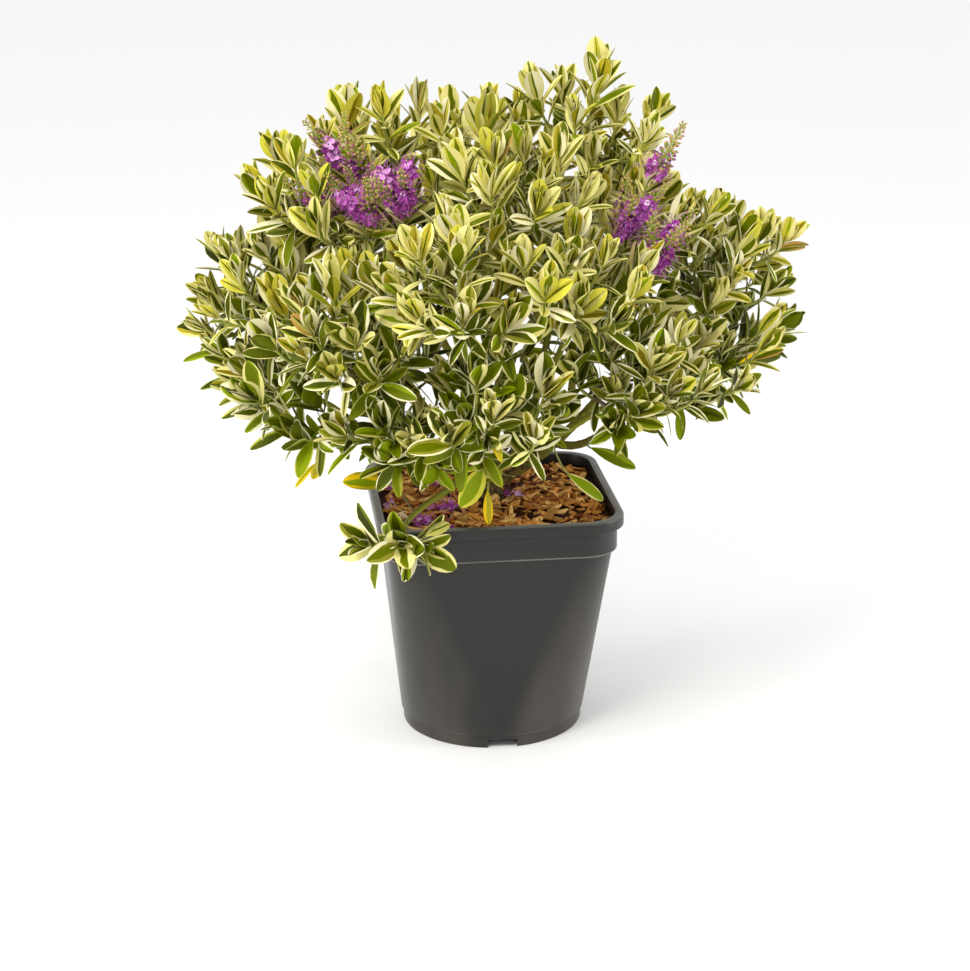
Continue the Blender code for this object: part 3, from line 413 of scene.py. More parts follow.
def plain_material(name, colour, roughness, bump=0.0, bump_scale=400.0, specular=0.5):
    """A plain base colour with a fine bump from noise."""
    mat = bpy.data.materials.new(name)
    graph = Graph(mat)
    shader = graph.feed(graph.nodes["Principled BSDF"], Base_Color=(*colour, 1.0),
                        Roughness=roughness, Specular_IOR_Level=specular)
    if bump:
        place = graph.node("TexCoord").outputs["Object"]
        grain = graph.node("TexNoise", Vector=place, Scale=bump_scale, Detail=3.0).outputs["Fac"]
        graph.feed(shader, Normal=graph.bump(grain, bump, BUMP_DEPTH))
    return mat


def shades(name, colours, look):
    """Numbered plain materials, one for each colour."""
    return [plain_material(f"{name}_{i}", linear(*rgb), *look) for i, rgb in enumerate(colours)]


# Meshes

def new_object(name, data):
    """An object in the scene."""
    item = bpy.data.objects.new(name, data)
    bpy.context.scene.collection.objects.link(item)
    return item


def mesh_object(name, points, faces, materials, slots=None, smooth=True):
    """An object from arrays of points, equal-sided faces, and a material number a face."""
    points = np.asarray(points, dtype=np.float32)
    faces = np.asarray(faces, dtype=np.int32)
    mesh = bpy.data.meshes.new(name)
    mesh.vertices.add(len(points))
    mesh.vertices.foreach_set("co", points.ravel())
    mesh.loops.add(faces.size)
    mesh.loops.foreach_set("vertex_index", faces.ravel())
    mesh.polygons.add(len(faces))
    starts = np.arange(len(faces), dtype=np.int32) * faces.shape[1]
    mesh.polygons.foreach_set("loop_start", starts)
    if slots is not None:
        mesh.polygons.foreach_set("material_index", np.asarray(slots, dtype=np.int32))
    mesh.polygons.foreach_set("use_smooth", np.full(len(faces), smooth))
    mesh.update(calc_edges=True)
    mesh.validate()
    for mat in materials:
        mesh.materials.append(mat)
    return new_object(name, mesh)


class Builder:
    """Collects quads with a material number each."""

    def __init__(self):
        self.points, self.faces, self.slots, self.count = [], [], [], 0

    def add(self, points, faces, slots):
        """Adds a patch whose faces count from its own first point."""
        self.points.append(np.asarray(points, dtype=np.float64))
        self.faces.append(np.asarray(faces, dtype=np.int64) + self.count)
        self.slots.append(np.broadcast_to(slots, len(faces)))
        self.count += len(points)

    def add_tube(self, line, radii, sides, slots):
        """Adds a tube along a line."""
        self.add(tube(line, radii, sides), grid_faces(len(line), sides, wrap=True), slots)

    def build(self, name, materials, smooth=True):
        """The object."""
        return mesh_object(name, np.concatenate(self.points), np.concatenate(self.faces),
                           materials, np.concatenate(self.slots), smooth)


def grid_faces(rows, columns, wrap=False):
    """Quads of a grid of points, row by row, closed round each row or open."""
    faces = []
    spans = columns if wrap else columns - 1
    for row in range(rows - 1):
        for column in range(spans):
            after = (column + 1) % columns
            faces.append((row * columns + column, row * columns + after,
                          (row + 1) * columns + after, (row + 1) * columns + column))
    return np.array(faces)


def tube(points, radii, sides):
    """Points of rings along a line, turned as little as possible from one to the next."""
    side = (points[1] - points[0]).orthogonal()
    last = len(points) - 1
    rings = []
    for i, (point, radius) in enumerate(zip(points, radii)):
        heading = (points[min(i + 1, last)] - points[max(i - 1, 0)]).normalized()
        side = (side - heading * side.dot(heading)).normalized()
        other = heading.cross(side)
        for k in range(sides):
            turn = k * math.tau / sides
            rings.append(point + (side * math.cos(turn) + other * math.sin(turn)) * radius)
    return rings


# Growth

def direction(azimuth, rise):
    """A unit vector from degrees round and degrees up."""
    turn, up = math.radians(azimuth), math.radians(rise)
    return Vector((math.cos(up) * math.cos(turn), math.cos(up) * math.sin(turn), math.sin(up)))


def centre_of(mass):
    """Centre of a mass's space."""
    return direction(mass.azimuth, 0) * mass.reach + Vector((0, 0, mass.height))


def bough_tip(mass):
    """Where the bough ends, just inside its mass."""
    return centre_of(mass) - direction(mass.azimuth, mass.rise) * mass.size * BOUGH_END


def trunk_radius(height):
    """Radius of the trunk: a root flare at the foot, then an even taper."""
    up = (height - TRUNK_FOOT) / TRUNK_LENGTH
    flare = (TRUNK_FOOT_RADIUS - TRUNK_NECK_RADIUS) * math.exp(-(height - TRUNK_FOOT) / FLARE_HEIGHT)
    return TRUNK_NECK_RADIUS + (TRUNK_TOP_RADIUS - TRUNK_NECK_RADIUS) * up + flare


def trunk_centre(height):
    """Centre of the trunk, which leans a little."""
    return TRUNK_LEAN * ((height - TRUNK_FOOT) / TRUNK_LENGTH) + Vector((0, 0, height))


def bezier(start, first, second, end, t):
    """A point on a cubic curve."""
    u = 1 - t
    return start * u ** 3 + first * 3 * t * u * u + second * 3 * t * t * u + end * t ** 3


def fork_start(centre, tangent, parent_radius, toward, radius):
    """Start point and direction of a limb that leaves another at its side."""
    side = (toward - tangent * toward.dot(tangent)).normalized()
    heading = side * math.cos(FORK_TILT) + tangent * math.sin(FORK_TILT)
    offset = parent_radius + radius * math.sin(FORK_TILT) - radius - FORK_SUNK
    return centre + side * offset, heading


def bough_limb(mass, limbs, steps):
    """Centre line and radii of the bough that carries a mass."""
    tip = bough_tip(mass)
    arrival = direction(mass.azimuth, mass.rise)
    if mass.fork == TOP_OF_TRUNK:
        start, heading = trunk_centre(TRUNK_TOP - FORK_SUNK), UP
    elif mass.limb == "trunk":
        tier = LOWER_TIER if mass.name in LOWER_BOUGHS else UPPER_TIER
        start, heading = fork_start(trunk_centre(tier), UP, trunk_radius(tier),
                                    direction(mass.fork, 0), mass.radius)
    else:
        parent = limbs[mass.limb]
        place = mass.fork * (len(parent.points) - 1)
        index = int(place)
        centre = parent.points[index].lerp(parent.points[index + 1], place - index)
        tangent = (parent.points[index + 1] - parent.points[index]).normalized()
        start, heading = fork_start(centre, tangent, parent.radii[index], tip - centre,
                                    mass.radius)
    reach = (tip - start).length * BOUGH_SWEEP
    points, radii = [], []
    for step in range(steps + 1):
        t = step / steps
        points.append(bezier(start, start + heading * reach, tip - arrival * reach, tip, t))
        radii.append(mass.radius + (BOUGH_TIP_RADIUS - mass.radius) * t ** BOUGH_TAPER)
    return Limb(points, radii)


def walls_of(mass):
    """The planes between a mass's ball and the others: which way, and how far out."""
    walls = []
    for other in MASSES:
        if other is not mass:
            away = centre_of(other) - centre_of(mass)
            apart = away.length
            share = (apart * apart + mass.size ** 2 - other.size ** 2) / (2 * apart)
            walls.append((away / apart, share))
    return walls


def within(offset, walls, spare=0.0):
    """Whether a place is on this side of every wall, or no more than this over it."""
    return all(offset.dot(normal) < share + spare for normal, share in walls)


def off_pot(place, margin):
    """Whether a place is clear of the pot and of the bark chips in it."""
    across = max(abs(place.x), abs(place.y))
    if across > LIP_HALF + margin:
        return place.z > margin
    if across > COLLAR_HALF - WALL - margin:
        return place.z > POT_HEIGHT + margin
    return place.z > MULCH_CROWN + margin


def in_reach(place):
    """Whether a place is in the solids' box, or hardly beyond it."""
    low, high = cad_box
    return all(low[i] - REACH_SPARE < place[i] < high[i] + REACH_SPARE for i in range(3))


def barred(place):
    """Whether a place is below the crown's underside or in one of the hollows of its top."""
    out = math.hypot(place.x, place.y) - UNDERSIDE_REACH
    hollow = any((place - Vector(centre)).length < radius for centre, radius in HOLLOWS)
    return hollow or place.z < UNDERSIDE_HEIGHT + UNDERSIDE_SLOPE * out


def shoot_heading(mass, tip, chance):
    """Which way a shoot's tip points: out, away from the plant's base, and up."""
    outward = (tip - centre_of(mass)).normalized()
    onward = (tip - BASE).normalized()
    lift = SHOOT_UPWARD * min(1, max(0, LEAST_LIFT + mass.rise / 90))
    heading = outward * SHOOT_OUTWARD + onward * SHOOT_ONWARD + UP * lift
    return (heading + wobble(chance, SHOOT_WANDER)).normalized()


def shoot_tips(mass, walls, taken, chance):
    """Tips, headings and kinds of the shoots: a few inside, then many all over the outer side."""
    centre = centre_of(mass)
    axis = direction(mass.azimuth, max(mass.rise, 0) * AXIS_RISE)
    side = axis.orthogonal().normalized()
    other = axis.cross(side)
    turn = chance.uniform(0, math.tau)
    tips = []
    for count, fan, reach in TRIES:
        for i in range(count):
            away = math.acos(1 - fan * (i + 0.5) / count)
            turn += GOLDEN_ANGLE + chance.uniform(-TURN_STRAY, TURN_STRAY)
            spread = side * math.cos(turn) + other * math.sin(turn)
            out = mass.size * chance.uniform(*reach)
            tip = centre + (axis * math.cos(away) + spread * math.sin(away)) * out
            heading = shoot_heading(mass, tip, chance)
            end = tip + heading * ROSETTE_REACH
            if (end - centre).length > mass.size or tip.z < centre.z + LOWEST * mass.size:
                continue
            if barred(tip) or not within(tip - centre, walls, CELL_OVERLAP):
                continue
            apart = TIP_SPACING + max(tip.z - SPARSE_FROM, 0) * SPARSE_RATE
            crowded = any((tip - place).length <= apart for place in taken)
            if off_pot(tip, TIP_CLEARANCE) and not crowded:
                tips.append((tip, heading, None))
                taken.append(tip)
    return tips[:FEW_SHOOTS.get(mass.name, len(tips))]


class Plant:
    """What has grown: limbs, shoots and the places of leaves and flowers."""

    def __init__(self):
        self.limbs, self.shoots, self.leaves, self.taken = {}, [], [], []

    def grow(self):
        """Boughs first, then the shoots and leaves of every mass."""
        for mass in MASSES:
            self.limbs[mass.name] = bough_limb(mass, self.limbs, BOUGH_STEPS)
        for mass in MASSES:
            self.grow_mass(mass)
        for root, tip, width, kind in LONE_LEAVES:
            self.lone_leaf(in_metres(root), in_metres(tip), width, kind)

    def lone_leaf(self, root, tip, width, kind):
        """A single leaf on a short twig from the nearest limb or shoot."""
        lines = [(shoot.line, shoot.mass) for shoot in self.shoots]
        lines += [(limb.points, name) for name, limb in self.limbs.items()]
        foot, name = min(((point, name) for line, name in lines for point in line),
                         key=lambda item: (item[0] - root).length)
        span = tip - root
        bend = root - span * TWIG_BEND
        line = [bezier(foot, foot.lerp(bend, 0.5), bend, root, step / TWIG_STEPS)
                for step in range(TWIG_STEPS + 1)]
        self.shoots.append(Shoot(name, line, [TWIG_RADIUS] * len(line)))
        self.leaves.append(Leaf(name, root, span.normalized(), LONE_FACING, span.length,
                                width, LONE_AGE, 0.0, kind))

    def grow_mass(self, mass):
        """One mass: a stem from the bough's tip, and shoots that branch from it."""
        chance = random.Random(f"{SEED} {mass.name}")
        walls, centre, foot = walls_of(mass), centre_of(mass), bough_tip(mass)
        heart = foot.lerp(centre, STEM_REACH)
        sunk = foot - direction(mass.azimuth, mass.rise) * STEM_SUNK
        self.shoots.append(Shoot(mass.name, [sunk, foot, heart], STEM_RADII))
        joints = [foot.lerp(heart, share) for share in STEM_JOINTS]
        placed = [in_metres(tip) for tip in (*[row[0] for row in FLOWERING], *EDGE_TIPS)]
        tips = [(tip, shoot_heading(mass, tip, chance), None)
                for tip in placed if within(tip - centre, walls)]
        tips += [(in_metres(tip), Vector(heading).normalized(), kind)
                 for tip, heading, kind in OPEN_SHOOTS if within(in_metres(tip) - centre, walls)]
        self.taken += [tip for tip, _, _ in tips]
        tips += shoot_tips(mass, walls, self.taken, chance)
        tips.sort(key=lambda shoot: (shoot[0] - heart).length)
        for tip, heading, kind in tips:
            joint = min(joints, key=lambda place: (place - tip + heading * JOINT_BACK).length)
            self.shoot(mass, joint, tip, heading, kind, joints, chance)

    def shoot(self, mass, joint, tip, heading, kind, joints, chance):
        """One curved shoot with its leaves."""
        span = (tip - joint).length
        first = joint.lerp(tip, SHOOT_START) - heading * span * SHOOT_DIP
        second = tip - heading * span * SHOOT_END
        shares = [step / SHOOT_STEPS for step in range(SHOOT_STEPS + 1)]
        line = [bezier(joint, first, second, tip, share) for share in shares]
        light = brightness(tip) + chance.uniform(-SHOOT_LIGHT, SHOOT_LIGHT)
        radii = [SHOOT_RADIUS * (SHOOT_FOOT - SHOOT_TAPER * share) for share in shares]
        self.shoots.append(Shoot(mass.name, line, radii))
        joints.append(line[SHOOT_STEPS // 3])
        scale, spread, breadth = chance.uniform(*SHOOT_SCALE), chance.uniform(*SHOOT_SPREAD), 1.0
        if kind:
            scale, spread, breadth = OPEN_SCALE, OPEN_SPREAD, OPEN_BREADTH
        turn = chance.uniform(0, math.pi)
        for number, (size, width, lean, place) in enumerate(PAIRS):
            place *= scale * chance.uniform(*PLACE_STRAY)
            if place > span * LEAFY_SHARE:
                break
            root, along = walk_back(line, place)
            side = along.orthogonal().normalized()
            turn += math.pi / 2 + chance.uniform(-PAIR_STRAY, PAIR_STRAY)
            for half in (0, math.pi):
                if number > SAFE_PAIRS and chance.random() < LOST_LEAVES:
                    continue
                out = Matrix.Rotation(turn + half, 3, along) @ side
                lean_here = min(lean * spread, WIDEST_LEAN)
                tilt = math.radians(lean_here + chance.uniform(-LEAN_STRAY, LEAN_STRAY))
                outward = along * math.cos(tilt) + out * math.sin(tilt)
                outward.z -= SAG * max(0, number - SAG_FROM)
                length = LEAF_LENGTH * size * scale * chance.uniform(*LENGTH_STRAY)
                outward.normalize()
                end, middle = root + outward * length, root + outward * length / 2
                if off_pot(end, LEAF_MARGIN) and off_pot(middle, LEAF_MARGIN) and in_reach(end):
                    shade = light - AGE_SHADE * max(0, number - SHADE_FROM)
                    age = number + OPEN_AGE if kind else number
                    self.leaves.append(Leaf(mass.name, root, outward, along, length,
                                            width * breadth, age, shade, kind))


def walk_back(line, distance):
    """Point and heading that lie a distance back from the end of a line."""
    for start, end in zip(reversed(line[:-1]), reversed(line[1:])):
        piece = (end - start).length
        if distance <= piece:
            return end.lerp(start, distance / piece), (end - start).normalized()
        distance -= piece
    return line[0], (line[1] - line[0]).normalized()


def brightness(place):
    """How bright and yellow the leaves are here: more at the top and on the outside."""
    height = (place.z - CROWN_LOW) / (CROWN_HIGH - CROWN_LOW)
    out = Vector((place.x / CROWN_HALF, place.y / CROWN_HALF, 0)).length
    return LIGHT_LEAST + LIGHT_RISE * max(height, 0) ** LIGHT_CURVE + LIGHT_OUTWARD * out


# Leaves

class LeafArrays:
    """The points and colours of many leaves at once."""

    def __init__(self, leaves, kinds, seed):
        self.leaves, self.kinds, self.count = leaves, kinds, len(leaves)
        self.dice = np.random.default_rng(seed)

    def every(self, field):
        """One field of every leaf."""
        return np.array([getattr(leaf, field) for leaf in self.leaves])

    def frames(self):
        """Root, across, face and along of every leaf."""
        root, along, inward = self.every("root"), self.every("outward"), self.every("inward")
        inward = inward + self.dice.normal(0, FACE_STRAY, inward.shape)
        face = inward - along * (inward * along).sum(1, keepdims=True)
        face /= np.linalg.norm(face, axis=1, keepdims=True)
        return root, np.cross(face, along), face, along

    def edge(self, field):
        """How far out a zone ends on either half of every leaf, in half widths."""
        ends = np.array([getattr(KINDS[kind], field) for kind in self.kinds])[:, None]
        return self.dice.uniform(ends[..., :1], ends[..., 1:], (self.count, 1, 2))

    def wander(self, step):
        """An edge between two colours that strays by small steps along the leaf."""
        steps = self.dice.normal(0, step, (self.count, len(LEAF_STATIONS), 2))
        return np.cumsum(steps, axis=1) - steps.sum(axis=1, keepdims=True) / 2

    def points(self):
        """Points of every leaf: rows along it, seven columns across it."""
        dice, each = self.dice, (self.count, 1, 1)
        length, number, width = (self.every(field)[:, None, None]
                                 for field in ("length", "number", "width"))
        t = np.array(LEAF_STATIONS)[None, :, None]
        slender = width * dice.uniform(*WIDTH_STRAY, each)
        half = np.array(LEAF_OUTLINE)[None, :, None] * length * slender / 2
        inner, outer = self.edge("inner"), self.edge("outer")
        fade = np.sin(math.pi * np.clip(t, *FADE_ENDS)) ** FADE_CURVE
        fade = np.clip(fade, FADE_LEAST, 1)
        inner = np.clip(inner * fade * (1 + self.wander(INNER_STRAY)), *INNER_LIMITS)
        outer = np.clip(outer + self.wander(OUTER_STRAY), *OUTER_LIMITS)
        inner = np.minimum(inner, outer - LEAST_MIDDLE)
        u = np.zeros((self.count, len(LEAF_STATIONS), 7))
        u[:, :, 0], u[:, :, 6] = -1, 1
        u[:, :, 1], u[:, :, 5] = -outer[:, :, 0], outer[:, :, 1]
        u[:, :, 2], u[:, :, 4] = -inner[:, :, 0], inner[:, :, 1]
        young = np.clip(1 - number / YOUNG_PAIRS, 0, 1)
        cup = (CUP + CUP_YOUNG * young) * dice.uniform(*CUP_STRAY, each)
        age = np.clip(number - 2, 0, 4)
        curl = (CURL_YOUNG * young - CURL_OLD * age) * dice.uniform(*CURL_STRAY, each)
        x = u * half
        y = cup * half * np.abs(u) ** CUP_CURVE + curl * length * t * t
        y += CREASE * half * (np.abs(u) > 0.01)
        z = np.broadcast_to(t * length, x.shape)
        z = z - CURL_SHORTENS * np.abs(curl) * length * t ** 3
        root, across, face, along = self.frames()
        return (root[:, None, None] + x[..., None] * across[:, None, None]
                + y[..., None] * face[:, None, None] + z[..., None] * along[:, None, None])

    def colours(self):
        """A material number for every face: margin, middle and centre."""
        zones = np.zeros((self.count, 3), dtype=int)
        for name, kind in KINDS.items():
            chosen = np.array([item == name for item in self.kinds])
            for zone, mix in enumerate(kind.mixes):
                share = np.array(list(mix.values()), dtype=float)
                numbers = [LEAF_NAMES.index(colour) for colour in mix]
                zones[chosen, zone] = self.dice.choice(numbers, chosen.sum(), p=share / share.sum())
        strips = zones[:, [2, 1, 0, 0, 1, 2]]
        sides = self.dice.random((self.count, 2))
        for side, strip in ((0, 1), (1, 4)):
            for plain, like in ((sides < PLAIN_SHARE, 2), (sides > 1 - PLAIN_SHARE, 0)):
                strips[:, strip] = np.where(plain[:, side], strips[:, like], strips[:, strip])
        return strips[:, None, :].repeat(len(LEAF_STATIONS) - 1, axis=1)

    def build(self, name, materials):
        """One mesh of all of them."""
        points = self.points()
        count, rows, columns = points.shape[:3]
        firsts = (np.arange(count) * rows * columns)[:, None, None]
        faces = (grid_faces(rows, columns)[None] + firsts).reshape(-1, 4)
        return mesh_object(name, points.reshape(-1, 3), faces, materials, self.colours().ravel())


Kind = namedtuple("Kind", "inner outer mixes")
KINDS = {
    "bright": Kind((0.06, 0.24), (0.38, 0.78), (
        {"green": 4, "dark": 4, "fresh": 2, "olive": 1},
        {"lime": 4, "pale": 4, "sage": 2, "gold": 2, "fresh": 1},
        {"butter": 8, "cream": 2, "lime": 2, "tan": 0.1})),
    "mid": Kind((0.14, 0.38), (0.48, 0.8), (
        {"dark": 4, "green": 5, "deep": 1, "olive": 1},
        {"sage": 4, "pale": 3, "gold": 2, "green": 1, "lime": 2, "fresh": 1},
        {"butter": 6, "cream": 4, "tan": 0.1})),
    "mature": Kind((0.26, 0.58), (0.7, 0.88), (
        {"dark": 4, "deep": 2, "green": 5},
        {"green": 4, "sage": 3, "fresh": 2, "dark": 1},
        {"cream": 6, "butter": 3, "pale": 1})),
    "shade": Kind((0.36, 0.7), (0.8, 0.94), (
        {"dark": 4, "deep": 2, "green": 5, "fresh": 1},
        {"green": 5, "dark": 1, "fresh": 3},
        {"pale": 3, "cream": 4, "fresh": 2, "sage": 2})),
    "lime": Kind((0.2, 0.5), (0.7, 0.9), (
        {"green": 3, "fresh": 3}, {"fresh": 3, "lime": 1}, {"lime": 2, "pale": 1, "butter": 1})),
    "spent": Kind((0.2, 0.5), (0.7, 0.9), (
        {"fresh": 2, "gold": 2}, {"yellow": 3, "lime": 2}, {"yellow": 4, "gold": 1})),
}


def kind_of(leaf, chance):
    """Which of the kinds of colouring a leaf has."""
    if leaf.kind:
        return leaf.kind
    value = leaf.light + chance.uniform(-LEAF_LIGHT, LEAF_LIGHT)
    if leaf.number > SPENT_FROM and leaf.root.z < SPENT_BELOW and chance.random() < SPENT_SHARE:
        return "spent"
    for name, least in LIGHT_LEVELS:
        if value > least:
            return name
    return "shade"


def make_leaves(plant):
    """All leaves, in pieces by the way that their mass faces."""
    materials = [plain_material("leaf_" + name, linear(*rgb), *LEAF_LOOK)
                 for name, rgb in LEAF_COLOURS.items()]
    chance = random.Random(SEED)
    for number, names in enumerate(sectors()):
        leaves = [leaf for leaf in plant.leaves if leaf.mass in names]
        kinds = [kind_of(leaf, chance) for leaf in leaves]
        item = LeafArrays(leaves, kinds, SEED + number).build(f"leaves_{number + 1}", materials)
        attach(item, "root")
        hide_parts(*["foliage_" + name for name in names])


def sectors():
    """Names of the masses, split by the way that they face."""
    order = sorted(MASSES, key=lambda mass: (mass.azimuth % 360, mass.name))
    each = math.ceil(len(order) / LEAF_PIECES)
    return [[mass.name for mass in order[i:i + each]] for i in range(0, len(order), each)]


def make_shoots(plant):
    """Stems and shoots: green when young, olive further in."""
    chance = random.Random(SEED)
    builder = Builder()
    for shoot in plant.shoots:
        spans = len(shoot.line) - 1
        slots = []
        for row in range(spans):
            age = 1 - row / spans + chance.uniform(-AGE_STRAY, AGE_STRAY)
            slots += [sum(age >= limit for limit in SHOOT_AGES)] * SHOOT_SIDES
        builder.add_tube(shoot.line, shoot.radii, SHOOT_SIDES, slots)
    item = builder.build("shoots", shades("shoot", SHOOT_COLOURS, SHOOT_LOOK))
    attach(item, "root")


# Bark

def bark_relief(place, along, turn, radius):
    """Height of the bark: long ridges, rings of old leaf scars and small pits."""
    across, over = math.cos(turn) * RIDGES_ROUND, math.sin(turn) * RIDGES_ROUND
    ridges = noise.noise(Vector((across, over, along * RIDGES_ALONG)) * RIDGE_SCALE)
    off_ring = (along * 1000 % SCAR_SPACING) - SCAR_SPACING / 2
    scar = math.exp(-off_ring ** 2 / SCAR_WIDTH)
    pits = noise.noise(place * PIT_SCALE)
    return radius * (RIDGE_DEPTH * ridges + PIT_DEPTH * pits) + SCAR_HEIGHT * scar


def bark_rings(points, radii, sides, flared):
    """Rings of a limb with the bark's relief, and that relief as a share of the radius."""
    rings = tube(points, radii, sides)
    relief, travelled = [], 0.0
    for row, (point, radius) in enumerate(zip(points, radii)):
        if row:
            travelled += (point - points[row - 1]).length
        for index in range(row * sides, (row + 1) * sides):
            turn = (index - row * sides) * math.tau / sides
            rise = bark_relief(rings[index], travelled, turn, radius)
            if flared:
                flare = math.exp(-(point.z - TRUNK_FOOT) / FLARE_HEIGHT)
                rise += radius * FLARE_LOBE_DEPTH * flare * (math.cos(FLARE_LOBES * turn) - 1)
            relief.append(rise / radius)
            rings[index] = rings[index] + (rings[index] - point).normalized() * rise
    return rings, relief


def make_bark(plant):
    """Trunk and boughs as one mesh with the bark's relief."""
    builder = Builder()
    levels = [TRUNK_FOOT + TRUNK_LENGTH * (i / TRUNK_STEPS) ** TRUNK_CROWDING
              for i in range(TRUNK_STEPS + 1)]
    trunk = Limb([trunk_centre(z) for z in levels], [trunk_radius(z) for z in levels])
    limbs = [(None, trunk, TRUNK_SIDES)]
    limbs += [(mass, plant.limbs[mass.name], BARK_SIDES) for mass in MASSES]
    for mass, (points, radii), sides in limbs:
        rings, relief = bark_rings(points, radii, sides, mass is None)
        slots = []
        for index in range((len(points) - 1) * sides):
            young = index // sides / len(points) if mass else TRUNK_YOUTH
            young += FORK_YOUTH if mass and mass.limb != "trunk" else 0.0
            mark = relief[index] * MARK_RELIEF + noise.noise(rings[index] * SPOT_SCALE) * MARK_SPOTS
            slots.append(bark_slot(young, mark))
        caps = close_ring(len(points), sides)
        faces = np.concatenate([grid_faces(len(points), sides, wrap=True), caps])
        builder.add(rings, faces, slots + [slots[-1]] * len(caps))
    item = builder.build("trunk_and_boughs", shades("bark", BARK_COLOURS, BARK_LOOK))
    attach(item, "root")
    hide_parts("trunk", *["bough_" + mass.name for mass in MASSES])


def bark_slot(young, mark):
    """Colour number: dark in the cracks, brown on old wood, olive and green on young."""
    for slot, weight, limit in YOUNG_BARK:
        if young + mark * weight > limit:
            return slot
    return sum(mark >= limit for limit in OLD_BARK)


def close_ring(rows, sides):
    """Quads that close the far end of a tube across its last ring."""
    first = (rows - 1) * sides
    return np.array([(first + k, first + k + 1, first + sides - 2 - k, first + sides - 1 - k)
                     for k in range(sides // 2 - 1)])


# Pot

def rounded_square(half, corner, height):
    """One ring: a square with rounded corners, or a circle where corner equals half."""
    points = []
    for quarter in range(4):
        turn = Matrix.Rotation(quarter * math.pi / 2, 4, "Z")
        for step in range(CORNER_STEPS):
            angle = (step + 0.5) / CORNER_STEPS * math.pi / 2
            x = half - corner + corner * math.cos(angle)
            y = half - corner + corner * math.sin(angle)
            points.append(turn @ Vector((x, y, height)))
    return points


def body_outline(height):
    """Half width and corner of the pot's body, round below and square above."""
    share = (height - FOOT_HEIGHT) / (COLLAR_BOTTOM - FOOT_HEIGHT)
    half = BODY_FOOT_HALF + (BODY_TOP_HALF - BODY_FOOT_HALF) * share
    corner = BODY_FOOT_HALF + (BODY_TOP_CORNER - BODY_FOOT_HALF) * share
    return half, min(corner, half)


def shrunk(outline, inset):
    """Half width and corner of the outline that lies this far inside another."""
    return outline[0] - inset, outline[1] - inset


def rounding(outline, height, upward=False):
    """Rings round an edge: from the side to the top, or from the bottom to the side."""
    rings = []
    for step in range(EDGE_STEPS + 1):
        turn = step / EDGE_STEPS * math.pi / 2
        one, other = EDGE_ROUND * (1 - math.cos(turn)), EDGE_ROUND * (1 - math.sin(turn))
        inset, z = (one, height - other) if upward else (other, height + one)
        rings.append((*shrunk(outline, inset), z))
    return rings


def pot_profile():
    """Half width, corner and height of every ring, up the outside and down the inside."""
    foot_inside, bore = shrunk(FOOT, FOOT_WALL), shrunk(COLLAR, WALL)
    rings = [(*foot_inside, FLOOR_BOTTOM), (*foot_inside, 0.0), *rounding(FOOT, 0.0)]
    rings += [(*FOOT, FOOT_HEIGHT - drop) for drop in FOOT_STEPS]
    for step in range(BODY_STEPS + 1):
        height = FOOT_HEIGHT + (COLLAR_BOTTOM - FOOT_HEIGHT) * step / BODY_STEPS
        rings.append((*body_outline(height), height))
    rings += [*rounding(COLLAR, COLLAR_BOTTOM), (*COLLAR, COLLAR_BOTTOM + COLLAR_STEP)]
    rings += [(*COLLAR, LIP_BOTTOM), *rounding(LIP, LIP_BOTTOM)]
    rings += [*rounding(LIP, POT_HEIGHT, upward=True), (*shrunk(bore, -EDGE_ROUND), POT_HEIGHT)]
    rings += [(*shrunk(bore, -0.0003), POT_HEIGHT - 0.0005)]
    rings += [(*bore, POT_HEIGHT - EDGE_ROUND), (*bore, SHELF)]
    for height in (SHELF - 0.001, FLOOR_BOTTOM + FLOOR_THICKNESS):
        rings.append((*shrunk(body_outline(max(height, FOOT_HEIGHT)), WALL), height))
    return rings


def round_about(count, radius, start=0.0):
    """Turn and place of each of so many things round the middle."""
    for number in range(count):
        turn = start + number * math.tau / count
        yield turn, radius * math.cos(turn), radius * math.sin(turn)


def pot_cutters():
    """Blocks for the notches in the foot and drills for the holes in the floor."""
    for turn, x, y in round_about(NOTCH_COUNT, FOOT_HALF, -math.pi / 2):
        bpy.ops.mesh.primitive_cube_add(size=1.0)
        block = bpy.context.object
        block.scale = (CUT_DEPTH, NOTCH_WIDTH, NOTCH_HEIGHT * 2)
        block.location = (x, y, 0.0)
        block.rotation_euler.z = turn
        yield block
    for _, x, y in round_about(DRAIN_COUNT, DRAIN_CIRCLE):
        bpy.ops.mesh.primitive_cylinder_add(vertices=32, radius=DRAIN_RADIUS, depth=CUT_DEPTH)
        drill = bpy.context.object
        drill.location = (x, y, FLOOR_BOTTOM)
        yield drill


def make_pot():
    """The moulded pot, with rounded edges, drain notches in its foot and holes in its floor."""
    profile = pot_profile()
    points = [tuple(point) for ring in profile for point in rounded_square(*ring)]
    columns = 4 * CORNER_STEPS
    faces = grid_faces(len(profile), columns, wrap=True).tolist()
    last = (len(profile) - 1) * columns
    faces += [tuple(reversed(range(columns))), tuple(range(last, last + columns))]
    mesh = bpy.data.meshes.new("moulded_pot")
    mesh.from_pydata(points, [], faces)
    mesh.materials.append(pot_material())
    pot = new_object("moulded_pot", mesh)
    cutters = list(pot_cutters())
    for cutter in cutters:
        boolean = pot.modifiers.new("cut", "BOOLEAN")
        boolean.operation = "DIFFERENCE"
        boolean.object = cutter
    bpy.context.view_layer.update()
    seen = pot.evaluated_get(bpy.context.evaluated_depsgraph_get())
    cut = bpy.data.meshes.new_from_object(seen)
    pot.modifiers.clear()
    pot.data = cut
    for cutter in cutters:
        bpy.data.objects.remove(cutter, do_unlink=True)
    cut.shade_smooth()
    cut.set_sharp_from_angle(angle=SHARP_ANGLE)
    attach(pot, "root")
    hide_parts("pot")


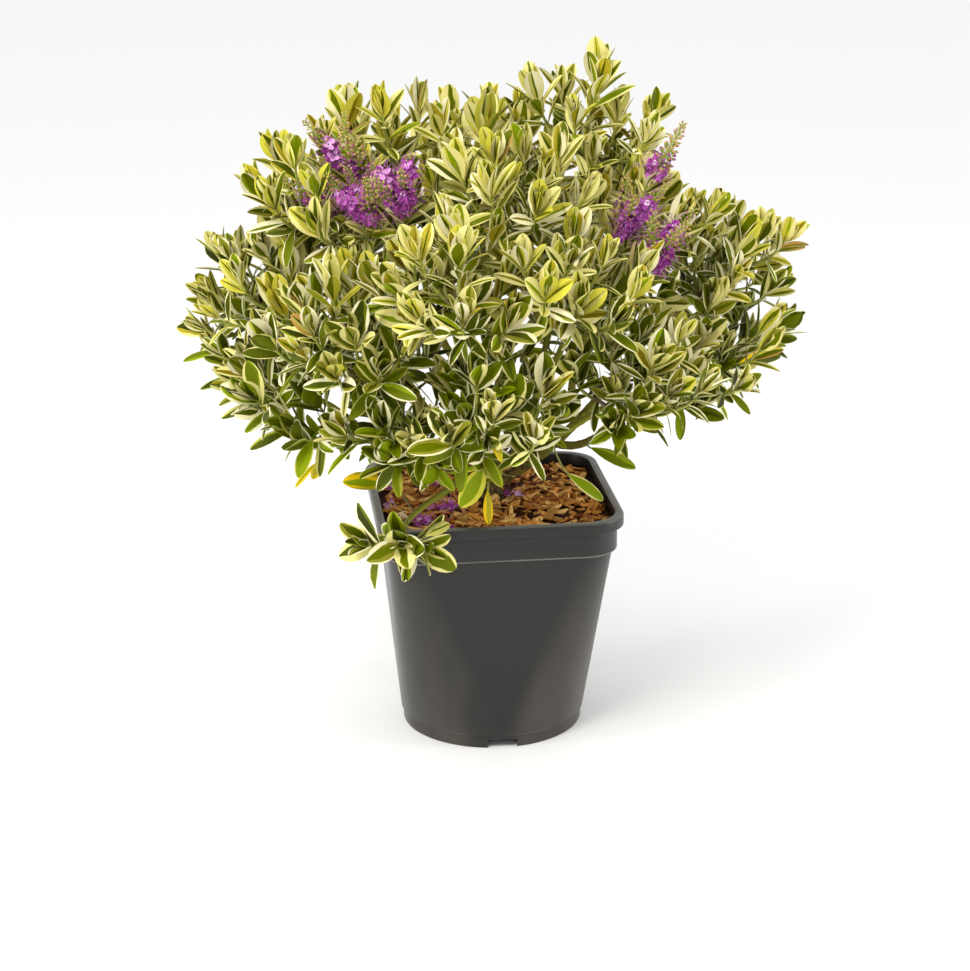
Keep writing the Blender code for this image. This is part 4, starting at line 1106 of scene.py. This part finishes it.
def pot_material():
    """Charcoal plastic: a painted sheen on its round corners, painted highlights along its edges,
    painted shade under its lip, finely grained.
    """
    charcoal, sheen_colour, highlight_colour, lip_shade = [(*linear(*rgb), 1)
                                    for rgb in (POT_COLOUR, CORNER_SHEEN_COLOUR, EDGE_HIGHLIGHT_COLOUR, LIP_SHADE_COLOUR)]
    mat = plain_material("charcoal_plastic", charcoal[:3], 0.3, specular=0.35)
    graph = Graph(mat)
    place = graph.node("TexCoord").outputs["Object"]
    x, y, z = graph.node("SeparateXYZ", Vector=place).outputs
    tall = graph.node("Mapping", Vector=place, Scale=(1.0, 1.0, 0.3)).outputs["Vector"]
    cloud = graph.node("TexNoise", Vector=tall, Scale=13.0, Detail=2.0).outputs["Fac"]
    # Painted sheen: the round corners are made lighter, more towards the foot and in cloudy patches,
    # to stand in for light on them
    up = graph.ramp(z, FOOT_HEIGHT, COLLAR_BOTTOM)
    flat = graph.do("MULTIPLY", up, BODY_TOP_HALF - BODY_TOP_CORNER)
    across = graph.do("MINIMUM", graph.do("ABSOLUTE", x), graph.do("ABSOLUTE", y))
    corner = graph.ramp(graph.do("SUBTRACT", across, flat), *CORNER_SHEEN_RISE)
    sheen_mask = graph.do("MULTIPLY", corner, graph.do("SUBTRACT", 1.15, up))
    sheen_mask = graph.do("MULTIPLY", sheen_mask, graph.ramp(cloud, *CORNER_SHEEN_PATCHES))
    colour = graph.mix(graph.do("MULTIPLY", sheen_mask, CORNER_SHEEN), charcoal, sheen_colour)
    # Painted highlights: pale bands, in patches, along the collar's lower edge, the foot's top edge
    # and the lip's top edge, to stand in for light caught by these edges
    collar, foot, lip = [graph.band(z, *edge) for edge in HIGHLIGHT_EDGES]
    edge_highlight = graph.do("MAXIMUM", graph.do("MAXIMUM", collar, foot), lip)
    edge_highlight = graph.do("MULTIPLY", edge_highlight, graph.ramp(cloud, *HIGHLIGHT_PATCHES))
    colour = graph.mix(graph.do("MULTIPLY", edge_highlight, EDGE_HIGHLIGHT), colour, highlight_colour)
    # Painted shade: a dark band just under the lip, where the lip shades the collar
    colour = graph.mix(graph.band(z, LIP_BOTTOM - 0.0008, 0.002), colour, lip_shade)
    rough = graph.node("MapRange", Value=cloud, To_Min=0.24, To_Max=0.42).outputs["Result"]
    grain = graph.node("TexNoise", Vector=place, Scale=900.0).outputs["Fac"]
    graph.feed(graph.nodes["Principled BSDF"], Base_Color=colour, Roughness=rough,
               Normal=graph.bump(grain, 0.12, 0.0003))
    return mat


# Bark chips

def square_reach(turn):
    """Distance from the middle of the pot to the inside of its wall."""
    half, corner = shrunk(COLLAR, WALL)
    across, along = abs(math.cos(turn)), abs(math.sin(turn))
    straight = half / max(across, along)
    inset = half - corner
    if straight * min(across, along) <= inset:
        return straight
    toward = inset * (across + along)
    return toward + math.sqrt(toward * toward - 2 * inset * inset + corner * corner)


def mulch_height(x, y):
    """Height of the heap of chips, highest at the trunk."""
    share = min(math.hypot(x, y) / square_reach(math.atan2(y, x)), 1.0)
    rise = MULCH_EDGE + (MULCH_CROWN - MULCH_EDGE) * (1 - share * share)
    return rise + MULCH_LUMPS * noise.noise(Vector((x, y, 0)) * LUMP_SCALE)


def make_mulch():
    """A dark bed of fines and, on it, bark chips that lie as they fell."""
    chance = random.Random(SEED)
    builder = Builder()
    rings = []
    for index in range((MULCH_ROWS + 1) * MULCH_SIDES):
        turn = index % MULCH_SIDES * math.tau / MULCH_SIDES
        out = direction(math.degrees(turn), 0)
        inner = trunk_centre(MULCH_CROWN) + out * (TRUNK_NECK_RADIUS - 0.001)
        outer = out * (square_reach(turn) - GAP)
        place = inner.lerp(outer, index // MULCH_SIDES / MULCH_ROWS)
        relief = BED_RELIEF * noise.noise(place * BED_SCALE)
        place.z = mulch_height(place.x, place.y) - BED_DEPTH + relief
        rings.append(place)
    rings += [Vector((rim.x, rim.y, SOIL_TOP + GAP)) for rim in rings[-MULCH_SIDES:]]
    faces = grid_faces(MULCH_ROWS + 2, MULCH_SIDES, wrap=True)
    builder.add(rings, faces, [chance.choice((0, 0, 1)) for _ in faces])
    for _ in range(CHIP_COUNT):
        add_chip(builder, chance)
    item = builder.build("bark_chips", shades("chip", CHIP_COLOURS, CHIP_LOOK), smooth=False)
    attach(item, "root")
    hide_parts("bark_mulch")


def dress_compost():
    """The compost below the chips: dark, dull and crumbly."""
    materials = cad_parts["compost"].data.materials
    materials.clear()
    materials.append(plain_material("crumbly_compost", linear(*COMPOST_COLOUR), *COMPOST_LOOK))


def add_chip(builder, chance):
    """One chip: a split, tapering flake, tilted as it lies."""
    length, width = chance.uniform(*CHIP_LENGTH), chance.uniform(*CHIP_WIDTH)
    thick = chance.uniform(*CHIP_THICKNESS)
    turn = chance.uniform(0, math.tau)
    reach = square_reach(turn) - length * 0.5 - 0.001
    out = TRUNK_NECK_RADIUS + (reach - TRUNK_NECK_RADIUS) * math.sqrt(chance.random())
    x, y = out * math.cos(turn), out * math.sin(turn)
    tilt_x, tilt_y = [Matrix.Rotation(chance.gauss(0, CHIP_TILT), 3, axis) for axis in "XY"]
    pose = tilt_x @ tilt_y @ Matrix.Rotation(chance.uniform(0, math.tau), 3, "Z")
    height = mulch_height(x, y) - CHIP_SUNK + chance.uniform(*CHIP_LIFT)
    centre = Vector((x, y, height))
    bend = chance.uniform(*CHIP_BEND)
    points = []
    for row in range(CHIP_SPANS + 1):
        share = row / CHIP_SPANS - 0.5
        away = abs(share * 2)
        wide = width / 2 * (1 - 0.55 * away ** chance.uniform(1.5, 4)) * chance.uniform(0.8, 1.1)
        shift = chance.uniform(-CHIP_STRAY, CHIP_STRAY) * width
        deep = thick / 2 * (1 - 0.5 * away ** 3) * chance.uniform(0.7, 1.2)
        arch = bend * length * share * share * 2
        points += [centre + pose @ Vector((share * length, side * wide + shift, level * deep + arch))
                   for side, level in CHIP_SECTION]
    sides = len(CHIP_SECTION)
    faces = grid_faces(CHIP_SPANS + 1, sides, wrap=True).tolist()
    for first in (0, CHIP_SPANS * sides):
        faces += [[first + k for k in end] for end in ((0, 1, 5, 6), (1, 2, 4, 5), (2, 3, 4, 4))]
    colour = chance.choices(range(2, len(CHIP_COLOURS)), weights=CHIP_WEIGHTS)[0]
    slots = [colour if chance.random() < CHIP_EVEN else chance.randrange(2, len(CHIP_COLOURS) - 1)
             for _ in faces]
    builder.add(points, faces, slots)


# Flowers

def make_racemes(plant):
    """Spikes of flowers round the flowering tips: open ones below, rows of buds above."""
    chance = random.Random(SEED)
    builders = [Builder() for _ in range(3)]
    for tip, count, opened in FLOWERING:
        tip = in_metres(tip)
        shoot = min(plant.shoots, key=lambda shoot: (shoot.line[-1] - tip).length)
        around = chance.uniform(0, math.tau)
        for number in range(count):
            foot, heading = walk_back(shoot.line, 0.003 + 0.0035 * number)
            outward = Vector((foot.x, foot.y, 0)).normalized()
            turn = around + number * GOLDEN_ANGLE
            lean = Vector((math.cos(turn), math.sin(turn), 0)) * RACEME_SPREAD
            toward = heading * RACEME_HEADING + UP * RACEME_UPWARD + outward * RACEME_OUTWARD + lean
            length = RACEME_LENGTH * chance.uniform(0.85, 1.12)
            share = opened * chance.uniform(0.55, 1.2)
            add_raceme(builders, foot, toward.normalized(), length, share, chance)
    for _ in range(FALLEN_FLOWERS):
        add_fallen(builders[1], chance)
    names = ("flower_stalks", "flowers", "flower_buds")
    for name, builder, colours in zip(names, builders, (STALK_COLOURS, PETAL_COLOURS, BUD_COLOURS)):
        item = builder.build(name, shades(name, colours, FLOWER_LOOK))
        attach(item, "root")


def add_raceme(builders, foot, heading, length, opened, chance):
    """One spike: stalk, open flowers up to the opened share of it, and buds beyond."""
    stalks, petals, buds = builders
    sway = wobble(chance, RACEME_SWAY) * length
    line = [foot + heading * length * t + sway * t * t for t, _ in STALK]
    stalks.add_tube(line, [radius for _, radius in STALK], 5, 0)
    side = heading.orthogonal().normalized()
    for row in range(RACEME_ROWS):
        t = STALK_SHARE + (1 - STALK_SHARE) * row / RACEME_ROWS
        root = foot + heading * length * t + sway * t * t
        for k in range(FLOWERS_ROUND):
            turn = k * math.tau / FLOWERS_ROUND + row * ROW_TURN
            turn += chance.uniform(-ROW_STRAY, ROW_STRAY)
            out = Matrix.Rotation(turn, 3, heading) @ side
            along = out + heading * (0.15 + 0.9 * t * t) + UP * chance.uniform(-ROW_STRAY, ROW_STRAY)
            along.normalize()
            if t < opened + chance.uniform(-0.06, 0.06):
                reach = root + along * FLOWER_STEM * chance.uniform(0.8, 1.3)
                stalks.add_tube([root, reach], [0.0004, 0.0006], 3, 1)
                add_flower(petals, reach, along, FLOWER_SIZE * chance.uniform(0.8, 1.15), chance)
            else:
                size = BUD_SIZE * (1.3 - 0.85 * t) * chance.uniform(0.85, 1.15)
                reach = root + along * size * 1.1
                stalks.add_tube([root, reach], [0.0003, 0.0003], 3, 0)
                add_bud(buds, reach, along, size, t < opened + RIPE_SHARE, chance)


def add_flower(builder, root, along, size, chance):
    """An open flower: four narrow petals that spread from a throat, and two long stamens."""
    side = along.orthogonal().normalized()
    shade = chance.choice(PETAL_SHADES)
    start = chance.uniform(0, math.tau)
    for k in range(4):
        turn = start + k * math.pi / 2 + chance.uniform(-PETAL_STRAY, PETAL_STRAY)
        out = Matrix.Rotation(turn, 3, along) @ side
        across = along.cross(out)
        lift = chance.uniform(*PETAL_LIFT)
        points = []
        for t, wide in PETAL:
            for u in (-1, 0, 1):
                rise = lift * t * t * 0.5 - 0.25 * (1 - t) + 0.12 * abs(u)
                points.append(root + out * size * 0.5 * t + across * size * wide * u
                              + along * size * rise * 0.5)
        builder.add(points, grid_faces(len(PETAL), 3), [THROAT] * 2 + [shade] * 6)
    for k in (-1, 1):
        lean = (along + side * STAMEN_SPREAD * k + wobble(chance, STAMEN_STRAY)).normalized()
        line = [root, root + lean * size * 0.45, root + lean * size * 0.85 + side * size * 0.1 * k]
        builder.add_tube(line, [0.00024, 0.0002, 0.0002], 3, STAMEN)
        tip = line[-1]
        line = [tip - lean * 0.0002, tip + lean * 0.0004, tip + lean * 0.0011]
        builder.add_tube(line, [0.0001, 0.0006, 0.0001], 4, ANTHER)


def add_bud(builder, root, along, size, ripe, chance):
    """A closed bud: green at its base, and pink to violet above where it is near opening."""
    top = chance.choice((3, 4, 4)) if ripe else chance.choice((1, 2, 2, 3))
    slots = [0] * 5 + [chance.choice((0, 1))] * 5 + [top] * 10
    line = [root + along * size * t for t, _ in BUD]
    builder.add_tube(line, [size * wide for _, wide in BUD], 5, slots)


def add_fallen(builder, chance):
    """A flower that dropped on the chips, in the places where they gather."""
    limit = COLLAR_HALF - FALLEN_LIMIT
    x, y = [max(-limit, min(limit, value / 1000 + chance.gauss(0, FALLEN_STRAY)))
            for value in chance.choice(FALLEN_PLACES)]
    root = Vector((x, y, mulch_height(x, y) + FALLEN_HEIGHT))
    lean = [chance.uniform(-FALLEN_TILT, FALLEN_TILT) for _ in range(2)]
    add_flower(builder, root, Vector((*lean, 1)).normalized(), FLOWER_SIZE, chance)


# Stage

def make_stage():
    """A pale floor, soft light from all round that is strongest overhead, and three lamps."""
    bpy.ops.mesh.primitive_plane_add(size=FLOOR_SIZE)
    floor = bpy.context.object
    floor.name = "floor"
    floor.data.materials.append(plain_material("pale_floor", FLOOR_COLOUR, 0.7))
    world = bpy.data.worlds.new("studio")
    graph = Graph(world)
    around = graph.node("TexCoord").outputs["Generated"]
    height = graph.node("SeparateXYZ", Vector=around).outputs["Z"]
    level = graph.node("MapRange", Value=height, To_Min=HORIZON_LIGHT, To_Max=OVERHEAD_LIGHT)
    graph.feed(graph.nodes["Background"], Strength=level.outputs["Result"], Color=(1, 1, 1, 1))
    bpy.context.scene.world = world
    for name, place, width, height, power, colour in LAMPS:
        light = bpy.data.lights.new(name, "AREA")
        light.shape = "RECTANGLE"
        light.size, light.size_y = width, height
        light.energy, light.color = power, colour
        lamp = new_object(name, light)
        lamp.location = place
        lamp.rotation_euler = (LAMP_AIM - Vector(place)).to_track_quat("-Z", "Y").to_euler()


def make_camera():
    """The view of the reference, worked out from the pot."""
    data = bpy.data.cameras.new("camera")
    data.sensor_width = SENSOR_WIDTH
    data.lens = SENSOR_WIDTH * FOCAL_PIXELS / IMAGE_LONG_SIDE
    data.clip_end = 50
    camera = new_object("camera", data)
    turned = Matrix.Rotation(math.radians(-POT_TURN), 4, "Z")
    place = Matrix.Translation((0, -CAMERA_DISTANCE, CAMERA_HEIGHT))
    aim = (Matrix.Rotation(math.radians(-CAMERA_YAW), 4, "Z")
           @ Matrix.Rotation(math.radians(90 - CAMERA_PITCH), 4, "X")
           @ Matrix.Rotation(math.radians(CAMERA_ROLL), 4, "Z"))
    camera.matrix_world = turned @ place @ aim
    bpy.context.scene.camera = camera


def main():
    """The whole scene."""
    make_camera()
    make_stage()
    plant = Plant()
    plant.grow()
    make_leaves(plant)
    make_shoots(plant)
    make_bark(plant)
    make_racemes(plant)
    make_pot()
    make_mulch()
    dress_compost()
    bpy.context.scene.view_settings.view_transform = "Standard"


main()
